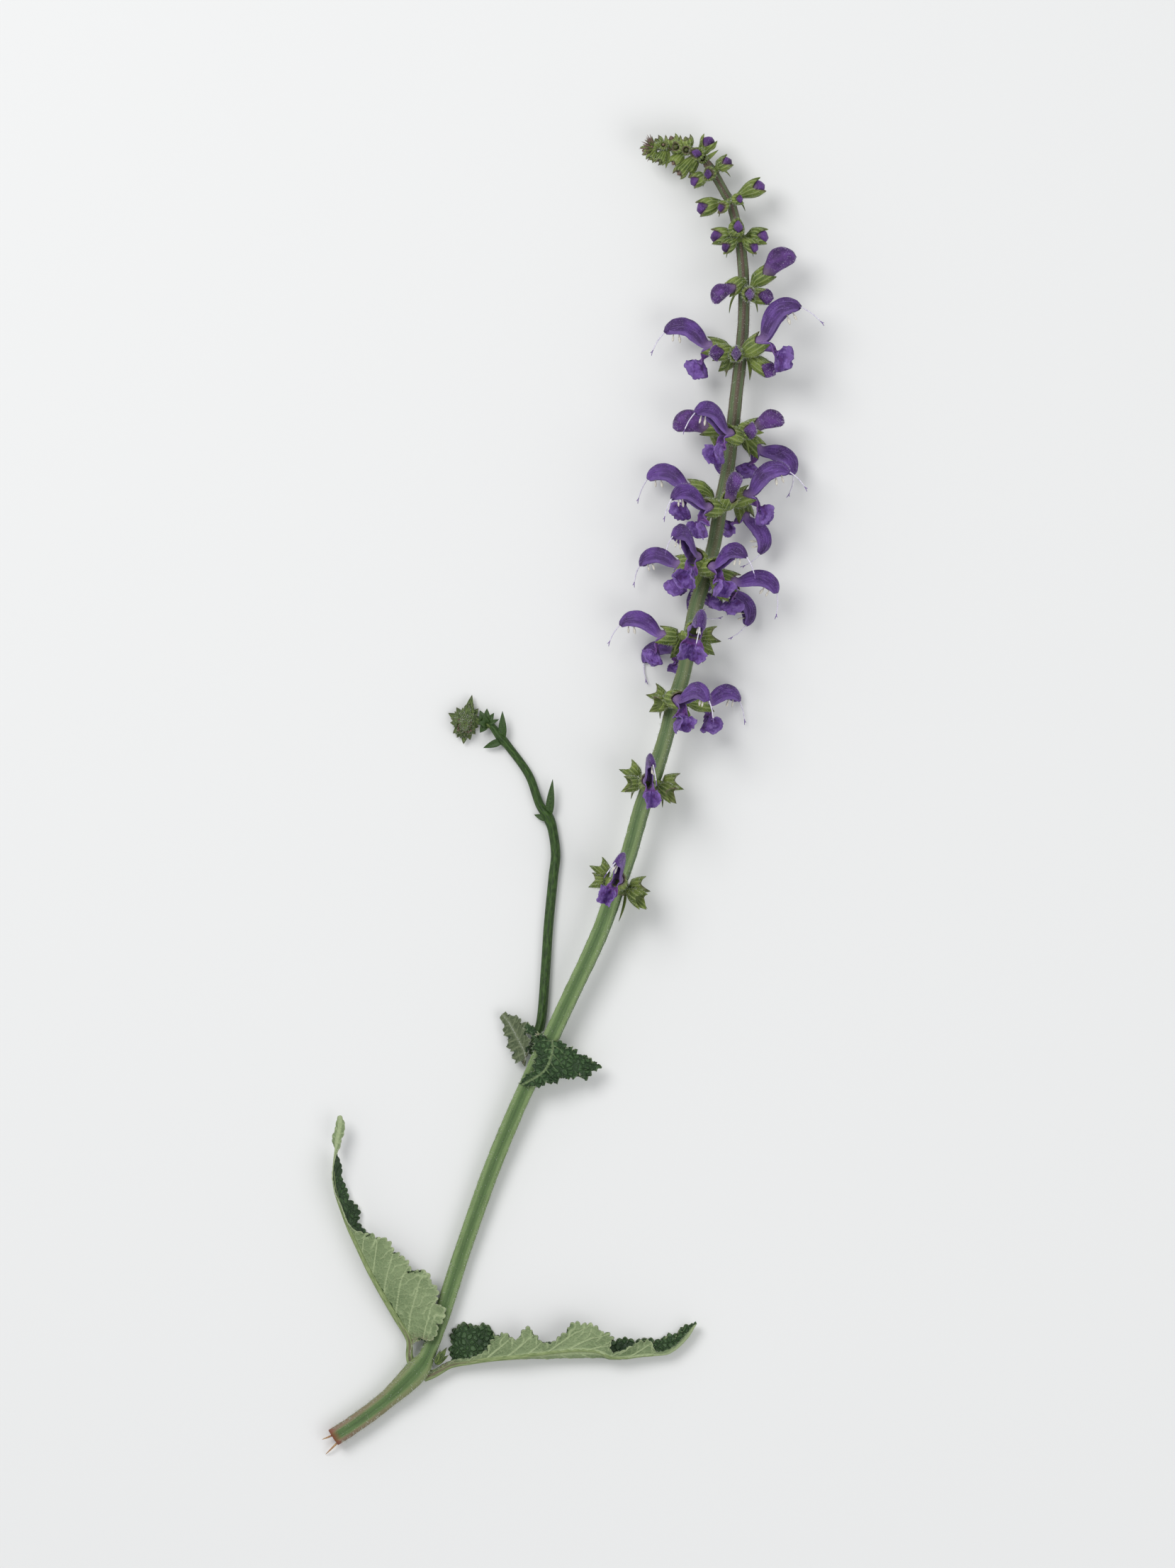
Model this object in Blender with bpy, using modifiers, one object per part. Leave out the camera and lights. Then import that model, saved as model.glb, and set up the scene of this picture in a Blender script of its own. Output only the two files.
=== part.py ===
# Cut flowering stem of perennial salvia, lying down on its back.
# X runs across the stem, Y along it towards the spike, Z up from the surface that it lies on.
# Sizes are millimetres throughout, and the finished meshes are scaled to metres.

from math import ceil, cos, pi, radians, sin

import bmesh
import bpy
from mathutils import Matrix, Vector

MM = 0.001
GAP = 0.3
PETAL = 0.62
BLADE = 0.7

# The main stem from its cut end: joint number, across, along, height, width, turn of its square section.
# Joints are numbered from the cut end, and joints 3 to 14 carry the whorls of flowers.
STEM = [
    (0, -74.8, -199.3, 2.75, 5.8, 0),
    (0, -67.5, -194.5, 2.75, 5.8, 0),
    (0, -57.9, -187.2, 2.85, 6.0, 0),
    (1, -48.8, -178.4, 3.50, 7.6, 0),
    (0, -45.5, -173.5, 2.60, 5.2, 0),
    (0, -40.7, -160.2, 2.60, 5.4, 0),
    (0, -35.0, -142.6, 2.55, 5.3, 0),
    (0, -26.4, -118.1, 3.20, 5.4, 0),
    (0, -19.4, -100.8, 4.30, 5.4, 0),
    (0, -14.0, -88.9, 5.40, 5.4, 2),
    (2, -10.3, -81.6, 6.20, 6.2, 4),
    (0, -7.7, -76.1, 6.80, 5.4, 5),
    (0, -1.8, -63.6, 7.80, 5.2, 6),
    (0, 7.8, -43.1, 9.40, 5.2, 10),
    (3, 13.2, -28.2, 10.60, 5.2, 14),
    (0, 17.2, -17.4, 11.30, 4.8, 16),
    (0, 21.0, -4.0, 12.00, 4.8, 18),
    (4, 23.8, 3.7, 12.40, 4.8, 20),
    (0, 28.4, 18.0, 12.80, 4.4, 22),
    (5, 31.2, 29.0, 13.00, 4.3, 24),
    (0, 34.1, 38.7, 13.20, 4.0, 26),
    (6, 35.9, 49.1, 13.30, 4.0, 28),
    (0, 37.8, 58.7, 13.40, 3.9, 30),
    (7, 40.9, 68.9, 13.50, 3.9, 32),
    (0, 43.5, 78.5, 13.50, 3.7, 34),
    (8, 45.5, 90.2, 13.50, 3.7, 36),
    (0, 47.5, 100.5, 13.50, 3.5, 38),
    (9, 49.1, 113.1, 13.50, 3.5, 40),
    (0, 50.2, 123.6, 13.50, 3.4, 42),
    (10, 51.7, 136.6, 13.50, 3.3, 43),
    (0, 52.4, 145.6, 13.30, 3.1, 44),
    (11, 52.6, 156.2, 13.00, 3.0, 45),
    (0, 52.2, 164.3, 12.70, 2.9, 45),
    (12, 51.3, 172.0, 12.40, 2.8, 45),
    (0, 49.3, 180.6, 12.00, 2.6, 45),
    (13, 48.4, 183.7, 11.80, 2.6, 45),
    (0, 46.9, 186.1, 11.60, 2.5, 45),
    (14, 43.1, 192.9, 11.20, 2.4, 45),
    (0, 40.7, 196.2, 11.00, 2.3, 45),
]
RING_STEP = 13.0
RIDGE_SPREAD = 12
RIDGE = 1.14
GROOVE = 0.92
# The collar of each whorl: how far each of its edges lies outside the stem,
# and how far along it, as a share of half of the stem's width
COLLAR = [(GAP, -0.7), (1.25, -0.5), (1.25, 0.5), (GAP, 0.7)]
REST_HEIGHT = 0.45

# Corolla in side view, from the middle of its calyx's mouth: outward and up
TUBE_TILT = 30
TUBE_ROOT = 1.7
TUBE_RADIUS = 1.25
TUBE_SIDES = 6
THROAT = {"out": 0.7, "radius": 1.65}
SPLIT_RING = {"top": (1.3, 2.9), "side": (2.0, 0.6), "bottom": (2.8, -0.7), "half_width": 1.8}
# Hood rows: the crest, the lower edge, half of the width
HOOD = [
    ((1.9, 5.8), (4.5, 2.6), 1.6),
    ((3.0, 9.8), (6.3, 5.3), 1.5),
    ((5.8, 12.6), (8.2, 7.6), 1.6),
    ((10.1, 13.6), (11.0, 8.9), 1.5),
    ((13.6, 12.0), (13.4, 9.5), 1.4),
]
# Lip rows: the middle, half of the width, how far the edge lies forward and above it
LIP = [
    ((4.3, -1.9), 1.25, (0.3, 0.8)),
    ((6.3, -2.0), 3.1, (0.5, -0.9)),
    ((7.9, -5.9), 3.4, (2.3, 1.2)),
    ((7.3, -8.4), 2.1, (1.4, 0.6)),
]
# How far across the hood its edge and its crest lie, and across the lip its inner points
HOOD_EDGE = 0.9
HOOD_CREST = 0.5
LIP_INNER = 0.4

# Closed flowers: middle of each ring, half of its height, half of its width
BUD_SIDES = 8
YOUNG_BUD_SIDES = 6
BUD_FOOT = (0.5, 0.3)
BUD = [((2.7, 2.8), 1.7, 1.6), ((4.5, 5.5), 3.1, 2.2), ((7.3, 6.2), 2.7, 2.0), ((9.4, 5.4), 1.2, 1.0)]
YOUNG_BUD = [((2.1, 1.5), 1.75, 1.6), ((3.8, 2.6), 1.0, 0.9)]

# Open flowers: joint, side, mouth of the calyx from the joint, pitch, turn to the front, roll, size, slimness
OPEN = {
    "10_left": (10, -1, (-8.2, 2.0, -1.0), -20, -8, 0, 0.92, 1.0),
    "10_right": (10, 1, (4.8, 2.6, 5.8), 3, 12, 0, 1.02, 1.0),
    "09_left": (9, -1, (-0.5, -2.0, 8.6), -12, 38, 0, 0.90, 1.0),
    "09_right": (9, 1, (6.6, -4.8, -3.5), -73, -12, 0, 0.87, 1.0),
    "09_back": (9, -1, (-4.2, -1.6, -6.8), -148, 20, 0, 0.72, 1.0),
    "08_left_back": (8, -1, (-8.2, 4.6, -2.5), -25, -17, 0, 0.88, 1.0),
    "08_left_front": (8, -1, (-3.3, -1.6, 7.8), -26, 34, 0, 0.84, 1.0),
    "08_right_front": (8, 1, (7.0, 2.0, 3.6), -9, 10, 0, 0.92, 1.0),
    "08_right_low": (8, 1, (7.0, -2.2, -5.3), -106, -4, 0, 0.80, 1.0),
    "07_left_front": (7, -1, (-2.8, 4.2, 7.8), -14, 60, 0, 0.94, 1.0),
    "07_left_back": (7, -1, (-6.8, 2.8, -2.8), -39, -20, 0, 0.82, 1.0),
    "07_right_front": (7, 1, (1.4, 1.4, 9.0), -25, 42, 0, 0.84, 1.0),
    "07_right": (7, 1, (7.2, -2.4, 1.5), -52, 0, 0, 0.86, 1.0),
    "07_right_back": (7, 1, (7.2, -3.6, -5.0), -103, -20, 0, 0.78, 1.0),
    "07_back": (7, -1, (-3.6, -2.0, -6.6), -142, 26, 0, 0.70, 1.0),
    "06_left": (6, -1, (-7.0, 0.2, 0.0), -24, -4, 0, 0.85, 1.0),
    "06_front": (6, 1, (1.4, 2.0, 8.4), -35, 85, -12, 0.88, 1.0),
    "06_back": (6, -1, (-3.8, -3.0, -6.95), -60, -28, 0, 0.72, 1.0),
    "05_front": (5, 1, (0.4, 0.6, 8.8), -39, 49, 0, 0.86, 1.0),
    "05_right": (5, 1, (8.4, -0.4, -2.6), -34, -35, 0, 0.81, 1.0),
    "04_front": (4, 1, (-1.2, 0.4, 8.4), -15, 80, 5, 0.80, 0.85),
    "03_front": (3, -1, (0.6, 1.8, 8.4), -12, 75, -24, 0.82, 0.85),
}

# Closed flowers: the same, with their rings
CLOSED = {
    "11_right": (11, 1, (6.0, 4.4, 1.5), 2, 4, 0, 1.0, 1.0, BUD),
    "11_left": (11, -1, (-3.0, 1.2, 5.2), -68, 22, 0, 0.74, 1.3, BUD),
    "11_front": (11, 1, (1.4, -1.4, 7.2), -40, 80, 0, 0.70, 1.0, YOUNG_BUD),
    "11_right_low": (11, 1, (5.0, -2.0, 4.2), -40, 35, 0, 0.90, 1.0, YOUNG_BUD),
    "10_left_front": (10, -1, (-6.0, 0.2, 4.6), -40, 40, 0, 0.90, 1.0, YOUNG_BUD),
    "10_front": (10, 1, (-1.6, -0.4, 8.2), -30, 90, 0, 0.85, 1.0, YOUNG_BUD),
    "10_right_low": (10, 1, (6.2, -3.8, 2.4), -65, 10, 0, 0.95, 1.0, YOUNG_BUD),
    "09_left": (9, -1, (-6.8, 0.6, -0.5), -28, -6, 0, 1.0, 1.0, BUD),
    "09_right": (9, 1, (6.2, 0.7, 1.4), -20, 4, 0, 0.84, 1.0, BUD),
    "09_front": (9, 1, (4.6, -0.4, 7.2), -40, 62, 0, 0.95, 1.0, YOUNG_BUD),
    "08_front": (8, 1, (2.4, 1.0, 8.2), 10, 66, 0, 0.88, 1.0, BUD),
}

# Calyces that hold no separate flower: joint, side, mouth from the joint, pitch, turn, size
CALYCES = [
    (3, -1, (-4.8, 6.0, -1.4), 15, -10, 0.78),
    (3, -1, (-5.8, 1.8, -2.6), -30, -20, 0.74),
    (3, 1, (7.2, 0.4, 1.0), -25, 5, 0.85),
    (3, 1, (6.8, -3.6, 4.6), -60, 35, 0.90),
    (4, -1, (-6.0, 4.2, -2.0), 10, -15, 0.82),
    (4, -1, (-6.2, -0.2, 2.6), -35, 20, 0.82),
    (4, 1, (6.8, 0.4, -1.4), -30, -10, 0.90),
    (4, 1, (5.6, -2.8, 4.0), -60, 30, 0.88),
    (5, -1, (-5.4, 2.6, -1.8), 0, -12, 0.76),
    (5, -1, (-4.8, -0.8, 4.6), -35, 40, 0.82),
    (6, 1, (6.4, 0.4, 0.6), -25, 5, 0.86),
    (6, 1, (5.0, -2.6, -4.4), -50, -30, 0.86),
    (7, 1, (5.0, -5.6, 5.2), -65, 35, 0.84),
    (10, -1, (-4.4, -2.4, -5.2), -50, -35, 0.82),
]
# Young calyces with the tips of their buds: the same
YOUNG_CALYCES = [
    (12, -1, (-6.0, 1.0, 0.2), -36, 0, 0.98),
    (12, 1, (5.8, 1.0, 0.2), -36, 0, 0.98),
    (12, 1, (-0.6, 3.0, 5.4), 10, 75, 0.85),
    (12, -1, (-3.8, -2.2, 4.2), -60, 35, 0.75),
    (12, 1, (3.8, -2.2, 4.2), -60, 35, 0.75),
    (12, 1, (0.4, -0.8, -5.4), -40, -80, 0.75),
    (13, -1, (-7.4, -1.6, 0.2), -50, 0, 1.0),
    (13, 1, (7.6, 4.2, 0.2), -8, 0, 1.0),
    (13, 1, (2.4, 0.6, 4.8), -30, 60, 0.65),
    (13, -1, (-2.6, -1.8, 4.8), -50, 55, 0.65),
    (13, 1, (0.2, 0.0, -5.2), -30, -80, 0.7),
    (14, -1, (-1.4, -0.8, 5.0), -35, 75, 0.8),
    (14, -1, (-4.8, -2.4, 0.8), -60, 5, 0.8),
    (14, 1, (3.4, 2.6, 0.4), 0, 0, 0.8),
    (14, 1, (0.4, 0.2, -5.0), -30, -80, 0.65),
]
OPEN_CALYX = 1.12
CLOSED_CALYX = 0.96
# The calyx from its root in the collar: radii, then how far behind the mouth its body and its floor lie
CALYX_ROOT_RADIUS = 0.8
CALYX_WAIST_RADIUS = 1.1
CALYX_BODY_RADIUS = 2.3
CALYX_MOUTH_RADIUS = 2.9
CALYX_BODY_REACH = 2.9
CALYX_DEPTH = 2.1
CALYX_WALL = 0.65
CALYX_NARROWING = 0.45
RIM_DROP = 0.15
# The mouth varies less than the calyx does: the share of its radius that stays the same
MOUTH_FIXED = 0.4
# The stalk: how far it runs straight behind the body, where its waist lies, and its gap to the stem
STALK_LEAD = 2.0
WAIST_PLACE = 0.65
STALK_GAP = 0.6
# How far outside the stem the roots of calyces and bracts start
CALYX_ROOT = 0.65
BRACT_ROOT = 1.0
# Each corner of the mouth: its place round the rim, how far it reaches out and how far it spreads
CALYX_TEETH = [
    (90, 2.6, 0.3), (10, -0.5, 0), (-50, 3.6, 0.8), (-90, -0.5, 0), (-130, 3.6, 0.8), (170, -0.5, 0),
]
# A young calyx and the bud tip in it: how far along, radius
YOUNG_CALYX = [(-2.4, 2.3), (0.3, 2.0), (-0.1, 1.35), (1.8, 1.15), (2.6, 0.5)]

# Bracts under the whorls: joint, tip from the joint, width
BRACT_THICKNESS = 0.9
BRACTS = [
    (3, (9.6, -7.0, 1.0), 4.6), (3, (0.6, -11.0, -1.5), 3.0),
    (4, (-6.2, -5.0, 1.0), 3.0), (4, (3.6, -7.6, -1.0), 3.0),
    (5, (5.6, -8.8, 2.0), 2.6), (5, (-4.6, -5.4, 1.0), 2.6),
    (6, (4.0, -8.4, 0.5), 2.2), (6, (-5.2, -6.4, 0.8), 2.2),
    (7, (1.4, -7.8, 0.0), 2.2), (7, (-3.6, -6.2, 3.0), 2.2),
    (8, (-4.4, -7.4, 2.4), 2.4),
    (9, (5.2, -8.6, 1.6), 2.4), (9, (-1.2, -6.0, 5.0), 2.0),
    (10, (-4.8, -7.4, 2.0), 2.6), (10, (2.6, -8.4, 2.6), 2.4),
    (11, (-4.6, -7.2, 1.0), 2.2), (11, (4.2, -7.0, 1.4), 2.2),
    (12, (-4.2, -5.8, 0.4), 1.8), (12, (4.2, -5.4, 0.6), 1.8),
    (13, (-3.6, -4.8, 0.4), 1.6), (13, (4.6, -3.0, 0.6), 1.6),
    (14, (-3.2, -4.6, 0.4), 1.6), (14, (5.4, -1.6, 0.6), 1.6),
]

# Pointed scales and bracts: how far along each ring lies, its share of the width and of the thickness
POINTED = [(0.0, 0.45, 0.8), (0.4, 1.0, 1.0), (1.0, 0.15, 0.4)]

# The nodding tip: its middle line with its radius, then each young calyx's root, tip and width
TIP_FLATNESS = 0.8
TIP_CORE = [
    (40.5, 196.5, 10.95, 1.1), (38.6, 198.6, 10.8, 1.6), (35.2, 200.0, 10.6, 1.6), (31.0, 200.6, 10.4, 1.4),
    (27.0, 200.6, 10.2, 1.2), (23.6, 200.4, 10.0, 0.8),
]
TIP_CALYCES = [
    ((39.0, 198.0, 10.9), (42.4, 203.4, 11.2), 4.4),
    ((38.6, 198.4, 11.2), (37.8, 198.6, 15.8), 3.8),
    ((38.4, 197.8, 10.6), (34.0, 192.4, 10.4), 4.8),
    ((37.6, 198.2, 11.0), (31.6, 191.4, 12.8), 4.2),
    ((38.0, 198.4, 10.4), (38.0, 198.0, 6.4), 3.6),
    ((35.2, 200.0, 10.8), (34.2, 204.6, 11.2), 3.8),
    ((34.2, 199.8, 10.6), (30.0, 194.6, 11.6), 4.0),
    ((33.4, 200.2, 11.0), (30.6, 200.8, 14.8), 3.8),
    ((33.0, 200.0, 10.2), (30.6, 199.6, 6.6), 3.4),
    ((30.4, 200.6, 10.6), (29.4, 205.0, 10.8), 3.6),
    ((29.6, 200.4, 10.4), (25.0, 195.8, 10.8), 3.6),
    ((26.4, 200.6, 10.4), (22.8, 203.6, 11.2), 3.2),
    ((25.2, 200.4, 10.2), (20.6, 199.4, 9.8), 2.8),
]

# Folded basal leaves: near edge, midrib, bulge of the far half and far edge, row by row from the stalk
LEFT_LEAF = [
    ((-51.0, -174.2, 4.8), (-51.8, -174.7, 3.6), (-51.6, -174.5, 3.0), (-51.2, -174.2, 2.4)),
    ((-49.7, -169.4, 5.4), (-51.0, -169.6, 4.2), (-50.8, -169.5, 3.3), (-49.9, -169.4, 2.7)),
    ((-45.0, -168.5, 7.4), (-51.8, -167.4, 4.6), (-50.6, -167.4, 3.2), (-47.2, -168.0, 1.4)),
    ((-41.6, -164.8, 8.0), (-53.1, -165.2, 5.0), (-51.0, -165.2, 3.2), (-45.8, -164.8, 0.9)),
    ((-40.6, -158.8, 8.0), (-54.9, -162.4, 5.4), (-52.0, -162.0, 3.3), (-45.4, -160.4, 0.8)),
    ((-42.6, -156.6, 8.0), (-56.4, -159.9, 5.7), (-53.2, -159.4, 3.4), (-45.6, -156.8, 0.8)),
    ((-42.8, -152.5, 8.0), (-58.2, -156.9, 6.0), (-55.0, -156.4, 3.5), (-46.6, -153.4, 0.8)),
    ((-45.4, -148.4, 8.0), (-60.0, -153.8, 6.2), (-57.0, -153.2, 3.6), (-48.2, -150.0, 0.8)),
    ((-49.2, -146.9, 7.9), (-61.8, -150.6, 6.4), (-59.0, -150.0, 3.7), (-50.8, -147.4, 0.8)),
    ((-52.4, -144.4, 7.8), (-63.6, -147.3, 6.5), (-60.8, -146.8, 3.8), (-53.6, -144.9, 0.8)),
    ((-56.8, -139.6, 7.6), (-65.4, -143.6, 6.6), (-62.8, -143.2, 3.8), (-57.6, -141.6, 0.8)),
    ((-60.8, -136.3, 7.6), (-67.0, -140.2, 6.6), (-65.0, -139.8, 3.9), (-62.0, -138.4, 0.9)),
    ((-65.2, -136.0, 7.5), (-68.4, -137.3, 6.5), (-67.0, -137.0, 4.0), (-65.2, -135.6, 1.2)),
    ((-69.8, -133.2, 8.2), (-69.8, -134.3, 6.4), (-68.6, -134.0, 4.0), (-66.9, -132.2, 1.6)),
    ((-72.3, -127.6, 8.3), (-72.1, -128.3, 6.2), (-70.8, -128.4, 4.0), (-67.3, -128.6, 2.0)),
    ((-74.5, -121.8, 8.0), (-74.0, -122.4, 6.0), (-73.0, -122.5, 4.2), (-71.0, -122.6, 2.6)),
    ((-75.0, -115.9, 7.8), (-74.7, -116.2, 5.9), (-73.9, -116.2, 4.5), (-72.2, -116.2, 3.2)),
    ((-73.9, -111.2, 7.2), (-74.4, -111.3, 6.0), (-74.1, -111.4, 5.0), (-73.4, -111.6, 4.2)),
    ((-72.2, -107.4, 6.9), (-73.6, -107.2, 6.2), (-74.2, -107.0, 5.8), (-74.9, -106.9, 5.3)),
    ((-71.2, -102.4, 6.9), (-72.7, -102.8, 6.6), (-73.4, -102.8, 6.3), (-74.1, -102.9, 5.9)),
    ((-71.9, -99.4, 6.9), (-72.5, -99.1, 6.7), (-72.8, -99.2, 6.6), (-73.1, -99.4, 6.4)),
]
RIGHT_LEAF = [
    ((-45.0, -179.3, 4.7), (-45.6, -180.5, 3.5), (-45.5, -180.4, 2.7), (-45.1, -179.6, 1.9)),
    ((-38.5, -175.2, 5.3), (-38.3, -176.7, 4.2), (-38.2, -177.0, 3.1), (-38.3, -175.9, 1.9)),
    ((-32.0, -174.0, 5.9), (-32.0, -175.5, 4.8), (-32.0, -176.2, 3.3), (-38.4, -169.4, 1.1)),
    ((-28.6, -172.8, 6.4), (-28.0, -174.9, 5.3), (-28.5, -176.3, 3.3), (-36.4, -164.2, 0.9)),
    ((-26.3, -170.0, 7.4), (-25.4, -174.6, 5.7), (-25.8, -176.4, 3.4), (-31.4, -164.4, 0.8)),
    ((-22.6, -166.3, 8.0), (-21.8, -174.3, 6.0), (-22.0, -176.5, 3.4), (-27.8, -164.2, 0.8)),
    ((-18.6, -168.2, 8.0), (-18.0, -174.0, 6.2), (-18.2, -176.5, 3.5), (-23.0, -168.2, 0.8)),
    ((-13.8, -164.9, 8.2), (-13.8, -173.4, 6.4), (-13.6, -176.6, 3.5), (-18.0, -169.4, 0.8)),
    ((-10.4, -169.2, 8.0), (-10.0, -172.9, 6.5), (-9.8, -176.9, 3.6), (-12.6, -169.9, 0.8)),
    ((-5.6, -168.8, 8.0), (-5.8, -172.4, 6.6), (-5.5, -177.2, 3.7), (-7.2, -169.6, 0.8)),
    ((0.2, -163.3, 8.2), (-1.4, -172.0, 6.6), (-0.4, -177.4, 3.8), (-1.6, -168.8, 0.8)),
    ((6.2, -164.4, 8.2), (3.2, -171.9, 6.5), (4.8, -177.5, 3.8), (4.6, -168.4, 0.8)),
    ((11.2, -167.4, 7.8), (7.4, -172.4, 6.2), (9.2, -177.2, 3.8), (10.4, -168.6, 0.8)),
    ((11.8, -172.6, 6.8), (11.2, -174.0, 5.7), (12.8, -176.6, 3.8), (15.6, -168.6, 0.9)),
    ((17.6, -170.6, 6.8), (16.0, -174.2, 5.1), (17.2, -175.6, 3.6), (20.4, -168.8, 1.0)),
    ((22.8, -168.6, 6.6), (20.8, -173.7, 4.7), (21.6, -174.3, 3.4), (25.0, -168.8, 1.2)),
    ((25.4, -172.0, 5.7), (25.0, -173.4, 4.5), (25.6, -173.4, 3.2), (29.0, -168.0, 1.4)),
    ((29.4, -171.6, 5.3), (29.6, -172.7, 4.3), (29.9, -172.4, 3.1), (33.0, -165.6, 1.8)),
    ((33.6, -168.2, 5.1), (34.5, -168.5, 4.3), (34.8, -168.1, 3.3), (36.2, -164.0, 2.4)),
    ((36.9, -164.2, 4.8), (37.7, -163.8, 4.4), (37.9, -163.6, 4.0), (37.6, -163.1, 3.5)),
]

# Clasping leaves of the second joint: left edge, midrib, right edge
FRONT_LEAF = [
    ((-9.0, -74.6, 10.2), (-6.8, -76.0, 10.5), (-4.6, -76.2, 10.3)),
    ((-15.4, -70.6, 8.0), (-6.6, -77.9, 10.7), (-1.9, -77.2, 10.2)),
    ((-13.0, -75.0, 9.4), (-6.7, -79.2, 10.8), (1.3, -79.8, 9.0)),
    ((-12.2, -79.0, 9.9), (-7.0, -80.8, 10.8), (7.9, -83.6, 6.6)),
    ((-12.0, -82.0, 10.1), (-7.8, -83.0, 10.7), (4.0, -87.4, 7.0)),
    ((-12.8, -84.6, 9.9), (-9.2, -85.2, 10.4), (-0.4, -87.2, 8.6)),
    ((-14.2, -86.4, 9.3), (-11.4, -86.9, 10.0), (-4.6, -88.2, 9.2)),
    ((-15.8, -87.8, 8.8), (-13.8, -88.3, 9.6), (-9.3, -89.7, 9.4)),
    ((-17.2, -89.2, 8.0), (-16.0, -89.6, 8.8), (-14.4, -90.2, 9.2)),
]
BACK_LEAF = [
    ((-15.4, -84.0, 5.0), (-15.0, -82.0, 5.3), (-14.5, -79.8, 5.4)),
    ((-16.8, -83.0, 4.4), (-15.4, -79.6, 5.0), (-14.0, -76.5, 5.3)),
    ((-19.2, -80.6, 3.6), (-17.0, -76.3, 4.5), (-14.6, -72.8, 5.0)),
    ((-20.6, -76.4, 3.2), (-18.8, -73.0, 4.1), (-15.6, -69.9, 4.6)),
    ((-22.0, -72.0, 3.0), (-20.4, -70.2, 3.7), (-18.4, -68.6, 4.2)),
    ((-22.9, -68.6, 3.1), (-22.3, -67.8, 3.4), (-21.4, -67.2, 3.7)),
]

# The side shoot: its middle line with its radius, and its leaflets' roots, tips and widths
SIDE_SHOOT_STEP = 18.0
LEAFLET_THICKNESS = 1.0
SIDE_SHOOT = [
    (-13.2, -80.6, 1.9, 1.3), (-12.0, -76.0, 1.8, 1.4), (-10.2, -70.0, 1.8, 1.4), (-8.9, -55.0, 1.8, 1.4),
    (-7.9, -40.3, 1.8, 1.4), (-6.4, -25.0, 1.9, 1.4), (-5.7, -18.3, 1.9, 1.4), (-6.6, -11.0, 2.0, 1.4),
    (-7.9, -7.0, 2.0, 1.6), (-10.6, -2.9, 2.0, 1.3), (-14.1, 6.4, 2.1, 1.2), (-20.7, 15.6, 2.4, 1.2),
    (-22.2, 17.2, 2.5, 1.4), (-25.6, 21.6, 2.6, 1.0), (-27.2, 22.4, 2.6, 1.0),
]
SIDE_LEAFLETS = [
    ((-7.9, -7.0, 2.1), (-6.6, 5.1, 3.4), 2.6),
    ((-8.2, -7.4, 2.0), (-12.4, -6.0, 1.2), 2.0),
    ((-22.2, 17.2, 2.6), (-22.2, 26.2, 3.6), 2.6),
    ((-22.2, 17.0, 2.5), (-28.2, 14.7, 1.6), 2.4),
]
# The side head: its core, and the points and radii of its neck from the shoot into the core
SIDE_HEAD = {"centre": (-32.8, 23.4, 3.1), "radius": 3.0}
SIDE_NECK = [(-27.65, 22.6, 2.6, 0.95), (-29.2, 23.1, 2.75, 1.1), (*SIDE_HEAD["centre"], 1.3)]
HEAD_BRACT_ROOT = 1.2
HEAD_BRACT_LIFT = 0.3
HEAD_BRACT_THICKNESS = 1.4
# Rings of the side head's bud bracts: their angles, reach, rise of the tips, width
HEAD_RINGS = [
    (range(24, 384, 60), 8.0, -1.6, 3.8),
    (range(0, 360, 72), 6.2, 2.0, 3.4),
    (range(10, 370, 120), 3.6, 4.4, 2.8),
]

# The leaflets of the shoot in the right leaf's axil: root, tip and width
AXILLARY_SHOOT = [
    ((-42.9, -176.4, 5.2), (-39.4, -171.0, 6.4), 2.4),
    ((-42.9, -176.4, 5.0), (-40.2, -172.6, 4.2), 2.2),
]
AXILLARY_THICKNESS = 1.6

# Colour, roughness
LOOKS = {
    "stem": ((0.10, 0.17, 0.06), 0.6),
    "leaf": ((0.08, 0.14, 0.05), 0.6),
    "calyx": ((0.11, 0.17, 0.06), 0.65),
    "corolla": ((0.11, 0.05, 0.24), 0.5),
}


def clear_scene():
    for item in list(bpy.data.objects):
        bpy.data.objects.remove(item, do_unlink=True)


def make_collection(name):
    group = bpy.data.collections.new(name)
    bpy.context.scene.collection.children.link(group)
    return group


def make_materials():
    materials = {}
    for name, (color, roughness) in LOOKS.items():
        material = bpy.data.materials.new(name)
        material.use_nodes = True
        shader = material.node_tree.nodes["Principled BSDF"]
        shader.inputs["Base Color"].default_value = (*color, 1)
        shader.inputs["Roughness"].default_value = roughness
        shader.inputs["Metallic"].default_value = 0
        materials[name] = material
    return materials


# Points between the given ones on a smooth curve through them, with any number of values a point
def smooth(points, step):
    points = [Vector(p) for p in points]
    places = [0.0]
    for a, b in zip(points, points[1:]):
        places.append(places[-1] + (b - a).length)
    last = len(points) - 1
    slopes = []
    for i in range(len(points)):
        before, after = max(i - 1, 0), min(i + 1, last)
        slopes.append((points[after] - points[before]) / (places[after] - places[before]))
    result = []
    for i in range(last):
        span = places[i + 1] - places[i]
        count = max(1, ceil(span / step))
        for k in range(count):
            t = k / count
            result.append(
                points[i] * (2 * t**3 - 3 * t**2 + 1)
                + slopes[i] * (span * (t**3 - 2 * t**2 + t))
                + points[i + 1] * (3 * t**2 - 2 * t**3)
                + slopes[i + 1] * (span * (t**3 - t**2))
            )
    result.append(points[last].copy())
    return result


# The direction of a path at each of its points
def directions(path):
    last = len(path) - 1
    return [(path[min(i + 1, last)] - path[max(i - 1, 0)]).normalized() for i in range(last + 1)]


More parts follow.
